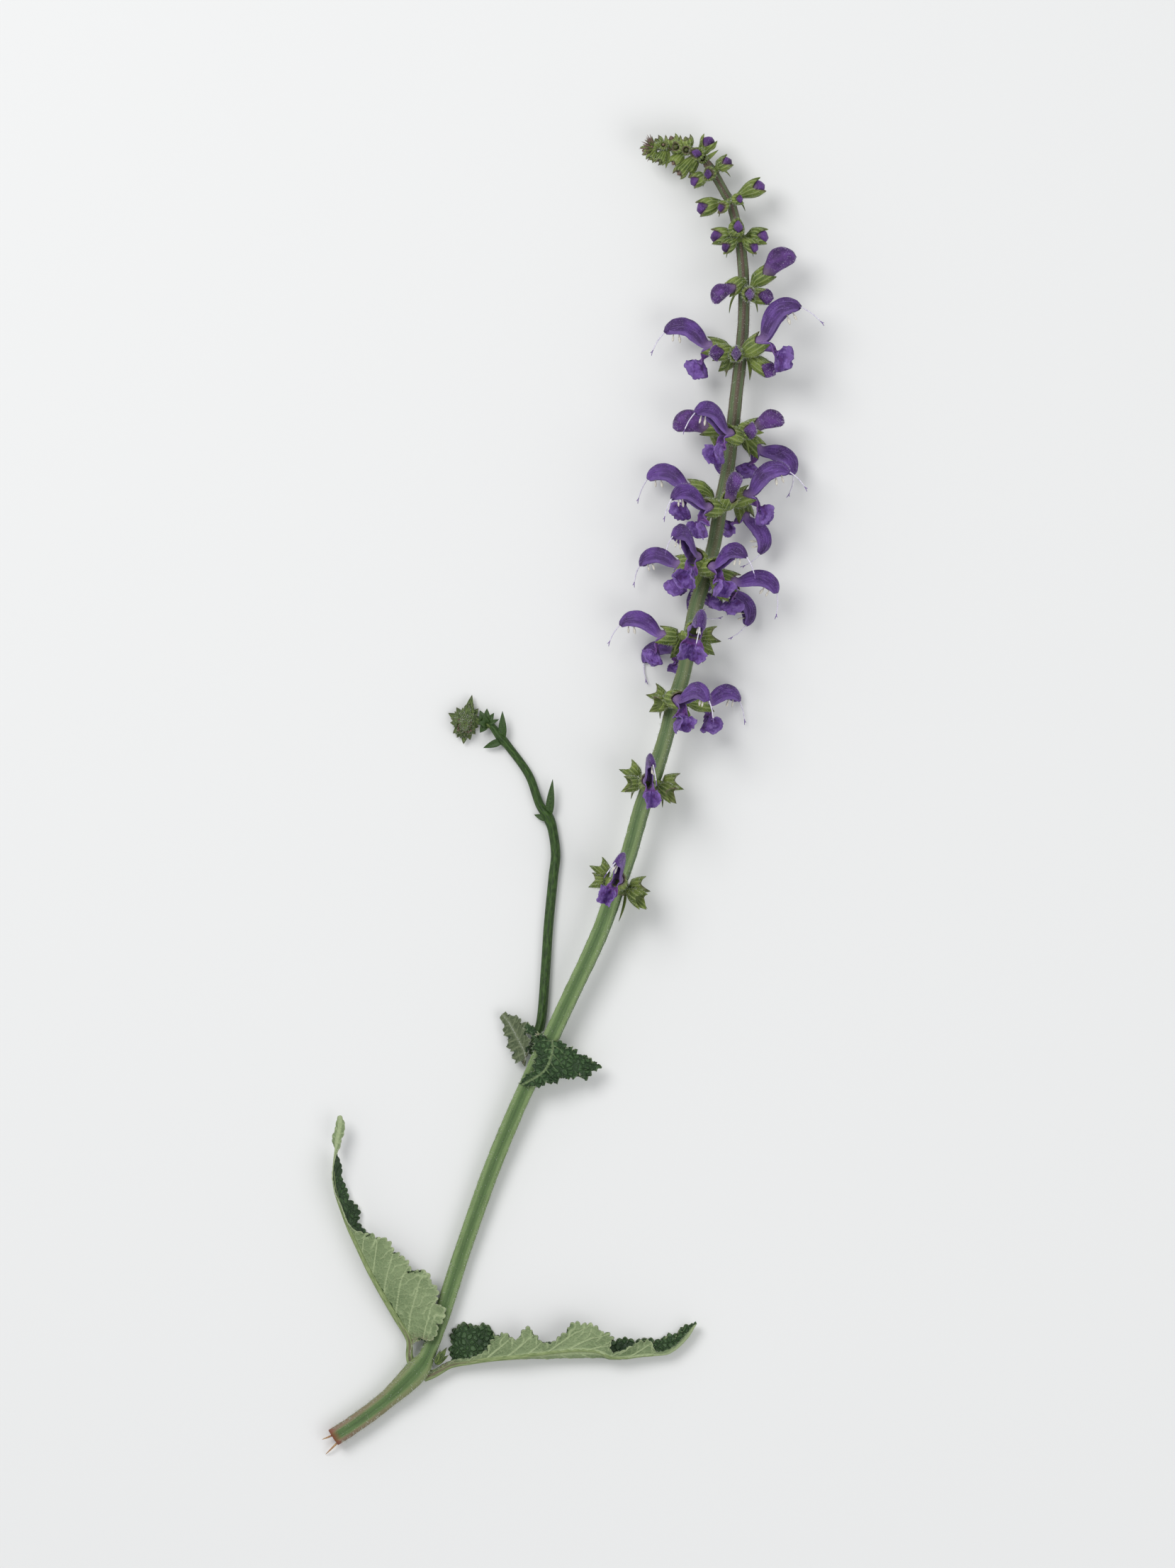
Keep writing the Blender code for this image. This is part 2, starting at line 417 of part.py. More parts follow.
# Join rings of points into one closed skin, with flat ends or with the last ring joined to the first
def loft(bm, rings, looped=False):
    rows = [[bm.verts.new(p) for p in ring] for ring in rings]
    count = len(rows[0])
    faces = []
    if looped:
        rows.append(rows[0])
    for a, b in zip(rows, rows[1:]):
        for k in range(count):
            faces.append(bm.faces.new((a[k], a[(k + 1) % count], b[(k + 1) % count], b[k])))
    if not looped:
        faces.append(bm.faces.new(rows[0]))
        faces.append(bm.faces.new(rows[-1]))
    bmesh.ops.recalc_face_normals(bm, faces=faces)
    bmesh.ops.triangulate(bm, faces=faces)


# Join rows of points into an open sheet, facing the side where each row runs clockwise to the next
def sheet(bm, rows):
    grid = [[bm.verts.new(p) for p in row] for row in rows]
    for a, b in zip(grid, grid[1:]):
        for k in range(len(a) - 1):
            bm.faces.new((a[k], a[k + 1], b[k + 1], b[k]))
    return grid


def new_object(name, bm, group, material=None):
    mesh = bpy.data.meshes.new(name)
    bm.to_mesh(mesh)
    bm.free()
    item = bpy.data.objects.new(name, mesh)
    group.objects.link(item)
    if material:
        mesh.materials.append(material)
    return item


def round_ring(centre, side, up, radius, height=None, count=8, start=0.0):
    height = radius if height is None else height
    ring = []
    for k in range(count):
        angle = start + 2 * pi * k / count
        ring.append(centre + side * (radius * cos(angle)) + up * (height * sin(angle)))
    return ring


def side_and_up(along, up_hint):
    side = along.cross(up_hint).normalized()
    return side, side.cross(along).normalized()


class Stem:
    def __init__(self):
        self.rows = smooth([row[1:] for row in STEM], RING_STEP)
        self.path = [Vector(row[:3]) for row in self.rows]
        self.along = directions(self.path)
        self.joints = {}
        for joint, x, y, z, width, turn in STEM:
            if joint:
                place = Vector((x, y, z))
                self.joints[joint] = min(range(len(self.path)), key=lambda i: (self.path[i] - place).length)

    def half_width(self, i):
        return self.rows[i][3] / 2

    # Square section with ridged corners and a shallow groove on each side
    def ring(self, i, grow=0.0, shift=0.0):
        centre = self.path[i] + self.along[i] * shift
        side, up = side_and_up(self.along[i], Vector((0, 0, 1)))
        half = self.half_width(i)
        turn = self.rows[i][4]
        points = []
        for corner in range(4):
            middle = 45 + 90 * corner
            spots = [(middle - RIDGE_SPREAD, RIDGE), (middle + RIDGE_SPREAD, RIDGE), (middle + 45, GROOVE)]
            for angle, reach in spots:
                spot = radians(angle + turn)
                radius = half * reach + grow
                points.append(centre + side * (radius * cos(spot)) + up * (radius * sin(spot)))
        return points


# One flower's place: its mouth, and the directions of its side view
class Flower:
    def __init__(self, joint_place, side, mouth, pitch, turn, roll, size, slim):
        ahead = Vector((side * cos(radians(turn)), 0, sin(radians(turn))))
        up = Vector((0, 1, 0))
        tilt = radians(pitch)
        self.out = ahead * cos(tilt) + up * sin(tilt)
        self.up = up * cos(tilt) - ahead * sin(tilt)
        self.wide = self.up.cross(self.out)
        if roll:
            spin = Matrix.Rotation(radians(roll), 3, ahead)
            self.out, self.up, self.wide = spin @ self.out, spin @ self.up, spin @ self.wide
        self.size = size
        self.slim = slim
        self.mouth = joint_place + Vector(mouth)
        lean = radians(TUBE_TILT)
        self.axis = self.out * cos(lean) + self.up * sin(lean)
        self.axis_up = self.up * cos(lean) - self.out * sin(lean)

    # A point of the side view, and how far across it lies
    def at(self, out, up, wide=0.0):
        return self.mouth + (self.out * out + self.up * up + self.wide * (wide * self.slim)) * self.size

    def tube_ring(self, reach, radius, count):
        centre = self.mouth + self.axis * (reach * self.size)
        return round_ring(centre, self.wide, self.axis_up, radius * self.size, count=count)


# A thin sheet made solid, its thickness laid on the side away from its faces' normals
def thicken(name, bm, thickness, group, material):
    bmesh.ops.triangulate(bm, faces=bm.faces, quad_method="FIXED")
    item = new_object(name, bm, group, material)
    skin = item.modifiers.new("Thickness", "SOLIDIFY")
    skin.thickness = thickness
    skin.offset = -1
    skin.use_even_offset = False
    bake(item)
    return item


# Replace an object's mesh by its evaluated one
def bake(item):
    graph = bpy.context.evaluated_depsgraph_get()
    mesh = bpy.data.meshes.new_from_object(item.evaluated_get(graph))
    old = item.data
    item.modifiers.clear()
    item.data = mesh
    bpy.data.meshes.remove(old)


# One body from several closed pieces that reach into each other
def fuse(name, pieces, group, material):
    loose = make_collection(name + "_pieces")
    base = new_object(name, pieces[0], group, material)
    for number, piece in enumerate(pieces[1:]):
        new_object(f"{name}_piece_{number}", piece, loose)
    join = base.modifiers.new("Union", "BOOLEAN")
    join.operation = "UNION"
    join.operand_type = "COLLECTION"
    join.collection = loose
    join.solver = "MANIFOLD"
    bake(base)
    for item in list(loose.objects):
        bpy.data.objects.remove(item, do_unlink=True)
    bpy.data.collections.remove(loose)
    return base


def build_stem(stem, group, materials):
    bm = bmesh.new()
    loft(bm, [stem.ring(i) for i in range(len(stem.path))])
    for vert in bm.verts:
        if vert.co.z < REST_HEIGHT:
            vert.co.z = 0.0
    return new_object("stem", bm, group, materials["stem"])


def build_corolla(name, flower, group, materials):
    bm = bmesh.new()
    count = TUBE_SIDES
    rings = [flower.tube_ring(-TUBE_ROOT, TUBE_RADIUS, count)]
    top, side, bottom = (Vector(SPLIT_RING[key]) for key in ("top", "side", "bottom"))
    split = []
    for k in range(count):
        angle = 2 * pi * k / count
        end = top if sin(angle) > 0 else bottom
        spot = side + (end - side) * abs(sin(angle))
        split.append(flower.at(spot.x, spot.y, SPLIT_RING["half_width"] * cos(angle)))
    rings.append(split)
    rows = [[bm.verts.new(p) for p in ring] for ring in rings]
    for a, b in zip(rows, rows[1:]):
        for k in range(count):
            bm.faces.new((a[k], a[(k + 1) % count], b[(k + 1) % count], b[k]))
    hood_row = rows[-1][: count // 2 + 1]
    for crest, edge, half in HOOD:
        spots = [(edge, HOOD_EDGE), (crest, HOOD_CREST), (crest, -HOOD_CREST), (edge, -HOOD_EDGE)]
        row = [bm.verts.new(flower.at(*spot, half * across)) for spot, across in spots]
        for k in range(count // 2):
            bm.faces.new((hood_row[k], hood_row[k + 1], row[k + 1], row[k]))
        hood_row = row
    lip_row = rows[-1][count // 2 :] + [rows[-1][0]]
    for middle, half, edge_shift in LIP:
        middle, edge_shift = Vector(middle), Vector(edge_shift)
        row = []
        for across in (-1.0, -LIP_INNER, LIP_INNER, 1.0):
            spot = middle + edge_shift * across**2
            row.append(bm.verts.new(flower.at(spot.x, spot.y, half * across)))
        for k in range(count // 2):
            bm.faces.new((lip_row[k], lip_row[k + 1], row[k + 1], row[k]))
        lip_row = row
    return thicken("corolla_" + name, bm, PETAL, group, materials["corolla"])


def bud_rings(flower, shape, count):
    rings = [
        flower.tube_ring(-TUBE_ROOT, TUBE_RADIUS, count),
        flower.tube_ring(THROAT["out"], THROAT["radius"], count),
    ]
    middles = [Vector(BUD_FOOT)] + [Vector(middle) for middle, height, width in shape]
    for i, (middle, height, width) in enumerate(shape):
        before, here = middles[i], middles[i + 1]
        after = middles[i + 2] if i + 2 < len(middles) else here + (here - before)
        way = (after - before).normalized()
        ring = []
        for k in range(count):
            angle = 2 * pi * k / count
            spot = here + Vector((-way.y, way.x)) * (height * sin(angle))
            ring.append(flower.at(spot.x, spot.y, width * cos(angle)))
        rings.append(ring)
    return rings


def build_bud(name, flower, shape, group, materials):
    bm = bmesh.new()
    loft(bm, bud_rings(flower, shape, BUD_SIDES if shape is BUD else YOUNG_BUD_SIDES))
    return new_object("bud_" + name, bm, group, materials["corolla"])


# The two narrow rings that lead from the stem into a calyx
def stalk_rings(joint_place, stem_way, stem_half, flower, reach_back, size):
    body = flower.mouth - flower.axis * reach_back
    behind = body - flower.axis * STALK_LEAD
    to_behind = behind - joint_place
    outward = (to_behind - stem_way * to_behind.dot(stem_way)).normalized()
    root = joint_place + outward * (stem_half + CALYX_ROOT)
    waist = root.lerp(behind, WAIST_PLACE)
    off_stem = waist - joint_place
    off_stem -= stem_way * off_stem.dot(stem_way)
    clearance = stem_half + CALYX_WAIST_RADIUS * size + STALK_GAP
    if off_stem.length < clearance:
        waist += off_stem.normalized() * (clearance - off_stem.length)
    middle_way = ((body - root).normalized() + flower.axis).normalized()
    rings = []
    narrow = [(root, outward, CALYX_ROOT_RADIUS), (waist, middle_way, CALYX_WAIST_RADIUS * size)]
    for centre, way, radius in narrow:
        up = (flower.axis_up - way * flower.axis_up.dot(way)).normalized()
        rings.append(calyx_ring(centre, up.cross(way), up, radius))
    return rings


def calyx_ring(centre, side, up, radius):
    spots = [radians(angle) for angle, reach, splay in CALYX_TEETH]
    return [centre + side * (radius * cos(a)) + up * (radius * sin(a)) for a in spots]


# A calyx from the stem to its mouth, hollow at the mouth, with one upper and two lower teeth
def calyx(joint_place, stem_way, stem_half, flower, size):
    def rim(radius, drop):
        points = []
        for angle, reach, splay in CALYX_TEETH:
            spot = radians(angle)
            out = radius + splay
            points.append(
                flower.mouth
                + flower.axis * (reach * size - drop)
                + flower.wide * (out * cos(spot))
                + flower.axis_up * (out * sin(spot))
            )
        return points

    def across(reach, radius):
        return calyx_ring(flower.mouth + flower.axis * reach, flower.wide, flower.axis_up, radius)

    mouth = CALYX_MOUTH_RADIUS * (MOUTH_FIXED + (1 - MOUTH_FIXED) * size)
    bm = bmesh.new()
    rings = stalk_rings(joint_place, stem_way, stem_half, flower, CALYX_BODY_REACH * size, size)
    rings.append(across(-CALYX_BODY_REACH * size, CALYX_BODY_RADIUS * size))
    rings.append(rim(mouth, 0.0))
    rings.append(rim(mouth - CALYX_WALL, RIM_DROP))
    rings.append(across(-CALYX_DEPTH * size, mouth - CALYX_WALL - CALYX_NARROWING))
    loft(bm, rings)
    return bm


# A young calyx closed round the tip of its bud
def young_calyx(joint_place, stem_way, stem_half, flower, size):
    bm = bmesh.new()
    rings = stalk_rings(joint_place, stem_way, stem_half, flower, -YOUNG_CALYX[0][0] * size, size)
    for reach, radius in YOUNG_CALYX:
        centre = flower.mouth + flower.axis * (reach * size)
        rings.append(calyx_ring(centre, flower.wide, flower.axis_up, radius * size))
    loft(bm, rings)
    return bm


# A pointed blade or scale: four-sided, widest a third of the way along
def pointed(root, tip, width, thickness, up_hint=Vector((0, 0, 1))):
    root, tip = Vector(root), Vector(tip)
    along = (tip - root).normalized()
    if abs(along.dot(up_hint)) > 0.9:
        up_hint = Vector((0, 1, 0))
    side, up = side_and_up(along, up_hint)
    bm = bmesh.new()
    rings = []
    for t, wide, thick in POINTED:
        centre = root.lerp(tip, t)
        rings.append(round_ring(centre, side, up, width / 2 * wide, thickness / 2 * thick, count=4))
    loft(bm, rings)
    return bm


def build_whorl(joint, stem, flowers, group, materials):
    index = stem.joints[joint]
    place, way = stem.path[index], stem.along[index]
    half = stem.half_width(index)
    collar = bmesh.new()
    loft(collar, [stem.ring(index, grow, share * half) for grow, share in COLLAR], looped=True)
    pieces = [collar]
    for flower, size, make_calyx in flowers:
        pieces.append(make_calyx(place, way, half, flower, size))
    for number, tip, width in BRACTS:
        if number == joint:
            reach = Vector(tip)
            outward = (reach - way * reach.dot(way)).normalized()
            root = place + outward * (half + BRACT_ROOT)
            pieces.append(pointed(root, place + reach, width, BRACT_THICKNESS, outward))
    return fuse(f"whorl_{joint:02d}", pieces, group, materials["calyx"])


# A folded or spread leaf from rows of points, its thickness on its underside
def build_leaf(name, rows, flip, group, materials):
    bm = bmesh.new()
    points = []
    for row in rows:
        row = [Vector(p) for p in row]
        points.append(row[::-1] if flip else row)
    sheet(bm, points)
    return thicken(name, bm, BLADE, group, materials["leaf"])


def tube(path_with_radius, count=6):
    points = [Vector(p[:3]) for p in path_with_radius]
    radii = [p[3] for p in path_with_radius]
    ways = directions(points)
    rings = []
    for point, way, radius in zip(points, ways, radii):
        side, up = side_and_up(way, Vector((0, 0, 1)))
        rings.append(round_ring(point, side, up, radius, count=count, start=pi / count))
    bm = bmesh.new()
    loft(bm, rings)
    return bm


def build_spike_tip(group, materials):
    pieces = [tube(TIP_CORE)]
    for root, tip, width in TIP_CALYCES:
        pieces.append(pointed(root, tip, width, width * TIP_FLATNESS))
    return fuse("spike_tip", pieces, group, materials["calyx"])


def build_side_shoot(group, materials):
    pieces = [tube(smooth(SIDE_SHOOT, SIDE_SHOOT_STEP))]
    for root, tip, width in SIDE_LEAFLETS:
        pieces.append(pointed(root, tip, width, LEAFLET_THICKNESS))
    return fuse("side_shoot", pieces, group, materials["stem"])


def build_side_head(group, materials):
    centre = Vector(SIDE_HEAD["centre"])
    core = bmesh.new()
    place = Matrix.Translation(centre)
    bmesh.ops.create_icosphere(core, subdivisions=1, radius=SIDE_HEAD["radius"], matrix=place)
    pieces = [core, tube(SIDE_NECK)]
    for angles, reach, rise, width in HEAD_RINGS:
        for angle in angles:
            way = Vector((cos(radians(angle)), sin(radians(angle)), 0))
            root = centre + way * HEAD_BRACT_ROOT + Vector((0, 0, rise * HEAD_BRACT_LIFT))
            tip = centre + way * reach + Vector((0, 0, rise))
            pieces.append(pointed(root, tip, width, HEAD_BRACT_THICKNESS))
    return fuse("side_head", pieces, group, materials["calyx"])


def build_axillary_shoot(group, materials):
    pieces = [pointed(root, tip, width, AXILLARY_THICKNESS) for root, tip, width in AXILLARY_SHOOT]
    return fuse("axillary_shoot", pieces, group, materials["leaf"])


# Put the middle of the lowest level at the origin, and turn millimetres into metres
def settle(group):
    corners = [vert.co for item in group.objects for vert in item.data.vertices]
    low = Vector([min(c[axis] for c in corners) for axis in range(3)])
    high = Vector([max(c[axis] for c in corners) for axis in range(3)])
    shift = Vector((-(low.x + high.x) / 2, -(low.y + high.y) / 2, -low.z))
    change = Matrix.Scale(MM, 4) @ Matrix.Translation(shift)
    for item in group.objects:
        item.data.transform(change)
        item.data.update()


def main():
    clear_scene()
    materials = make_materials()
    group = make_collection("perennial_salvia")
    stem = Stem()
    build_stem(stem, group, materials)

    whorls = {joint: [] for joint in range(3, 15)}
    for name, (joint, side, mouth, pitch, turn, roll, size, slim) in OPEN.items():
        place = stem.path[stem.joints[joint]]
        flower = Flower(place, side, mouth, pitch, turn, roll, size, slim)
        whorls[joint].append((flower, OPEN_CALYX * size**0.5, calyx))
        build_corolla(name, flower, group, materials)
    for name, (joint, side, mouth, pitch, turn, roll, size, slim, shape) in CLOSED.items():
        place = stem.path[stem.joints[joint]]
        flower = Flower(place, side, mouth, pitch, turn, roll, size, slim)
        whorls[joint].append((flower, CLOSED_CALYX * size**0.5, calyx))
        build_bud(name, flower, shape, group, materials)
    for table, make_calyx in ((CALYCES, calyx), (YOUNG_CALYCES, young_calyx)):
        for joint, side, mouth, pitch, turn, size in table:
            place = stem.path[stem.joints[joint]]
            flower = Flower(place, side, mouth, pitch, turn, 0, size, 1.0)
            whorls[joint].append((flower, size, make_calyx))
    for joint, flowers in whorls.items():
        build_whorl(joint, stem, flowers, group, materials)

    build_spike_tip(group, materials)
    build_leaf("basal_leaf_left", LEFT_LEAF, True, group, materials)
    build_leaf("basal_leaf_right", RIGHT_LEAF, True, group, materials)
    build_leaf("stem_leaf_front", FRONT_LEAF, False, group, materials)
    build_leaf("stem_leaf_back", BACK_LEAF, False, group, materials)
    build_axillary_shoot(group, materials)
    build_side_shoot(group, materials)
    build_side_head(group, materials)
    settle(group)


main()
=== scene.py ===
# Perennial salvia: one cut flowering stem that lies on its back, dressed over its solid model.
# Tables are in millimetres on the plant's own drawing: X across, Y along the stem, Z up from the table.

from bisect import bisect_right
from math import cos, exp, pi, radians, sin
from random import Random

import bmesh
import bpy
from mathutils import Matrix, Vector, noise


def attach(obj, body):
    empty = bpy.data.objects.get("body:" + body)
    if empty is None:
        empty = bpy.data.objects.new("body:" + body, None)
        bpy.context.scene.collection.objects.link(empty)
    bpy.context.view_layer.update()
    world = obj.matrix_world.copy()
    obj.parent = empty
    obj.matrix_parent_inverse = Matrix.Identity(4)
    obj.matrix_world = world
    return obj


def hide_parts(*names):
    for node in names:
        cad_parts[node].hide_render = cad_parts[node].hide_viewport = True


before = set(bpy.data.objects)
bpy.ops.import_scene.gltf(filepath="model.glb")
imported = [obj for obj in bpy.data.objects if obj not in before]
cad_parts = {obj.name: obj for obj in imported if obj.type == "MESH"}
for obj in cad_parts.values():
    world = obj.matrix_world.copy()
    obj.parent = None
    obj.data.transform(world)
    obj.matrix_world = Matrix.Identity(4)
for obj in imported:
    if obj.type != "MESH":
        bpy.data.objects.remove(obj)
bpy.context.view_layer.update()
print("frame loaded:", len(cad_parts), "nodes")

noise.seed_set(1)  # without it the vector noise differs from run to run

millimetre = 0.001
drawingShift = Vector((3.3505, -1.7216, 0.0))  # from the drawing to the frame
toFrame = Matrix.Scale(millimetre, 4) @ Matrix.Translation(drawingShift)
upwards = Vector((0, 0, 1))
northwards = Vector((0, 1, 0))
lowest = 0.01  # nothing lies nearer to the table
mergeGap = 0.003  # corners this near to each other become one

studio = {
    "middle": (0.00753, 0.0018),  # the point that the picture is centred on
    "distance": 4.0,
    "sight": 20.0,
    "pictureHeight": 0.48664,  # what the picture takes in from top to bottom
    "sensor": 36.0,
    "floorSize": 3.0,
    "floor": (0.80, 0.80, 0.79, 1.0),
    "floorRoughness": 0.9,
    "sky": (0.95, 0.97, 1.0, 1.0),
    "skyStrength": 0.55,
    # place, size, power
    "lights": {"key": ((-0.75, 0.75, 1.5), 1.0, 17.0), "fill": ((0.9, -0.5, 1.3), 1.2, 6.0)},
}


def addObject(name, data, place=(0, 0, 0)):
    made = bpy.data.objects.new(name, data)
    made.location = place
    bpy.context.scene.collection.objects.link(made)
    return made


def addMesh(name, bm):
    mesh = bpy.data.meshes.new(name)
    bm.to_mesh(mesh)
    bm.free()
    return addObject(name, mesh)


def buildStudio():
    scene = bpy.context.scene
    lens = bpy.data.cameras.new("camera")
    lens.sensor_width = studio["sensor"]
    lens.lens = studio["sensor"] * studio["distance"] / studio["pictureHeight"]
    lens.clip_end = studio["sight"]
    scene.camera = addObject("camera", lens, (*studio["middle"], studio["distance"]))
    scene.view_settings.view_transform = "Standard"

    scene.world = bpy.data.worlds.new("studio")
    scene.world.use_nodes = True
    background = scene.world.node_tree.nodes["Background"]
    background.inputs["Color"].default_value = studio["sky"]
    background.inputs["Strength"].default_value = studio["skyStrength"]

    for name, (place, size, power) in studio["lights"].items():
        lamp = bpy.data.lights.new(name, "AREA")
        lamp.shape, lamp.size, lamp.energy = "DISK", size, power
        light = addObject(name, lamp, place)
        light.rotation_euler = (-Vector(place)).to_track_quat("-Z", "Y").to_euler()

    paper = bpy.data.materials.new("floorPaper")
    paper.use_nodes = True
    shader = paper.node_tree.nodes["Principled BSDF"]
    shader.inputs["Base Color"].default_value = studio["floor"]
    shader.inputs["Roughness"].default_value = studio["floorRoughness"]
    bm = bmesh.new()
    bmesh.ops.create_grid(bm, x_segments=1, y_segments=1, size=studio["floorSize"] / 2)
    table = addMesh("floor", bm)
    table.data.materials.append(paper)


buildStudio()
print("camera, lights and floor are in place")


# One value in a material's nodes, which can be reckoned with like a number
class Value:
    def __init__(self, look, socket):
        self.look, self.socket = look, socket

    def maths(self, operation, *values):
        return self.look.add("ShaderNodeMath", {"operation": operation}, dict(enumerate(values)))

    def __add__(self, other):
        return self.maths("ADD", self, other)

    def __sub__(self, other):
        return self.maths("SUBTRACT", self, other)

    def __rsub__(self, other):
        return self.maths("SUBTRACT", other, self)

    def __mul__(self, other):
        return self.maths("MULTIPLY", self, other)

    __radd__ = __add__
    __rmul__ = __mul__

    # A cosine of this many turns, from 0 to 1
    def wave(self, turns):
        return self.maths("COSINE", self * (2 * pi * turns)) * 0.5 + 0.5

    # 0 below the low end, 1 above the high one
    def between(self, low, high):
        return self.look.add("ShaderNodeMapRange", {}, {0: self, 1: low, 2: high})

    # 1 at the middle, 0 from the width on
    def peak(self, middle, width):
        return (1 - self.maths("ABSOLUTE", self - middle) * (1 / width)).between(0, 1)


# A material and the nodes that paint it: its gloss, its sheen, and how far its colours are darkened as
# painted shade
class Look:
    def __init__(self, name, gloss=0.5, sheen=0.0, paintedShade=1.0):
        self.material = bpy.data.materials.new(name)
        self.material.use_nodes = True
        self.tree, self.paintedShade = self.material.node_tree, paintedShade
        self.shader = self.tree.nodes["Principled BSDF"]
        self.shader.inputs["Specular IOR Level"].default_value = gloss
        self.shader.inputs["Sheen Weight"].default_value = sheen
        self.place = self.add("ShaderNodeTexCoord", output=3)
        mark = self.add("ShaderNodeAttribute", {"attribute_name": "place"}, output=1)
        parts = self.add("ShaderNodeSeparateXYZ", {}, {0: mark}).socket.node.outputs
        self.across, self.along, self.mark = (Value(self, part) for part in parts)

    def add(self, kind, settings=None, inputs=None, output=0):
        node = self.tree.nodes.new(kind)
        for key, value in (settings or {}).items():
            setattr(node, key, value)
        for key, value in (inputs or {}).items():
            if isinstance(value, Value):
                self.tree.links.new(value.socket, node.inputs[key])
            else:
                node.inputs[key].default_value = value
        return Value(self, node.outputs[output])

    def tint(self, *color):
        values = [part * self.paintedShade / 255 for part in color]
        return (*[c / 12.92 if c <= 0.04045 else ((c + 0.055) / 1.055) ** 2.4 for c in values], 1.0)

    def mix(self, share, first, second):
        return self.add("ShaderNodeMix", {"data_type": "RGBA"}, {0: share, 6: first, 7: second}, 2)

    # From one tint to the other, which is the ground for the rest
    def ground(self, mask, dark, light):
        self.color = self.mix(mask, self.tint(*dark), self.tint(*light))
        return self.color

    # One more tint over what is there
    def over(self, mask, *color):
        self.color = self.mix(mask, self.color, self.tint(*color))

    # Cloudy noise in blotches of about this many millimetres, or on a spot of the piece's own
    def cloud(self, size, detail=3, spot=None):
        scale = 1 if spot else 1 / (size * millimetre)
        inputs = {"Vector": spot or self.place, "Scale": scale, "Detail": detail}
        return self.add("ShaderNodeTexNoise", {}, inputs)

    # The same drawn out: how often it changes across, along and with the mark
    def streaks(self, across, along, mark=0, detail=3):
        parts = {0: self.across * across, 1: self.along * along, 2: self.mark * mark}
        return self.cloud(1, detail, self.add("ShaderNodeCombineXYZ", {}, parts))

    # Cells of this many millimetres: the distance to their centres or to their edges
    def cells(self, size, feature="F1"):
        inputs = {"Vector": self.place, "Scale": 1 / (size * millimetre)}
        return self.add("ShaderNodeTexVoronoi", {"feature": feature}, inputs)

    # Both edges of a sheet
    def edges(self, width):
        return self.across.peak(0, width) + self.across.peak(1, width)

    def paint(self, roughness, height, depth, strength):
        inputs = {"Height": height, "Distance": depth * millimetre, "Strength": strength}
        bump = self.add("ShaderNodeBump", {}, inputs)
        for name, value in (("Base Color", self.color), ("Roughness", roughness), ("Normal", bump)):
            self.tree.links.new(value.socket, self.shader.inputs[name])
        return self.material


# Violet petals: the hood has mark 0 and the lip mark 1
def petalLook():
    look = Look("petal", 0.3, 0.1)
    grain, broad, foldReliefAndShade = look.cloud(0.45, 4), look.cloud(5, 2), look.cloud(1.7, 2)
    veins = look.streaks(30, 4, 5, 2)
    hood = look.ground(broad.between(0.35, 0.65), (58, 28, 84), (94, 58, 136))
    lip = look.ground(broad.between(0.35, 0.65), (80, 46, 120), (120, 84, 164))
    look.color = look.mix(look.mark, hood, lip)
    look.over(veins.between(0.5, 0.66) * 0.35, 128, 98, 172)
    look.over(veins.between(0.46, 0.36) * 0.4, 48, 28, 78)
    # Painted highlights: pale speckles on the petals from the fine grain
    look.over(grain.between(0.58, 0.74) * 0.4, 152, 126, 190)
    # Painted shade in the creases of the lip's folds; the same noise raises the folds in the bump
    look.over(foldReliefAndShade.between(0.46, 0.36) * look.mark * 0.7, 70, 28, 92)
    # Painted highlight on the crests of the lip's folds
    look.over(foldReliefAndShade.between(0.56, 0.66) * look.mark * 0.5, 150, 122, 190)
    # Painted light: both edges of each petal paler, as if lit from behind
    look.over(look.edges(0.1) * 0.5, 140, 112, 182)
    look.over((1 - look.along.between(0.1, 0.3)) * 0.8, 142, 116, 158)
    look.over(look.along.peak(0.42, 0.16) * look.mark * 0.55, 104, 44, 112)
    return look.paint(grain * 0.25 + 0.45, grain + veins + foldReliefAndShade * look.mark * 2, 0.18, 0.8)


def budLook():
    look = Look("budPetal", 0.3, 0.15)
    grain = look.cloud(0.4, 4)
    look.ground(look.cloud(3, 2).between(0.35, 0.65), (58, 28, 80), (96, 58, 128))
    look.over(grain.between(0.56, 0.72) * 0.5, 142, 118, 176)
    look.over((1 - look.along.between(0.16, 0.36)) * 0.7, 120, 104, 116)
    return look.paint(grain * 0.2 + 0.5, grain, 0.12, 0.6)


# Calyces and bracts: pale ribs with darker streaks between them, brown towards the tips, and painted shade on
# the inner wall of the mouth
def calyxLook():
    look = Look("calyxSkin", 0.3)
    grain, streaks, ribs = look.cloud(0.35, 4), look.streaks(26, 3, 9, 2), look.across.wave(12)
    look.ground(look.cloud(4, 2).between(0.35, 0.65), (78, 96, 38), (120, 136, 62))
    look.over(ribs.between(0.6, 1) * 0.6, 154, 166, 104)
    look.over(streaks.between(0.5, 0.64) * (1 - ribs) * 0.7, 58, 76, 38)
    look.over(grain.between(0.6, 0.76) * 0.35, 166, 172, 128)
    look.over(look.along.peak(0.78, 0.12) * look.cloud(7, 1).between(0.42, 0.6) * 0.75, 92, 66, 74)
    # Painted shade: darker from 0.82 to 0.96 along, which on a calyx is its inner wall down into the mouth
    look.over(look.along.between(0.82, 0.96) * 0.6, 74, 86, 50)
    return look.paint(grain * 0.25 + 0.5, grain + ribs * 0.8, 0.16, 0.6)
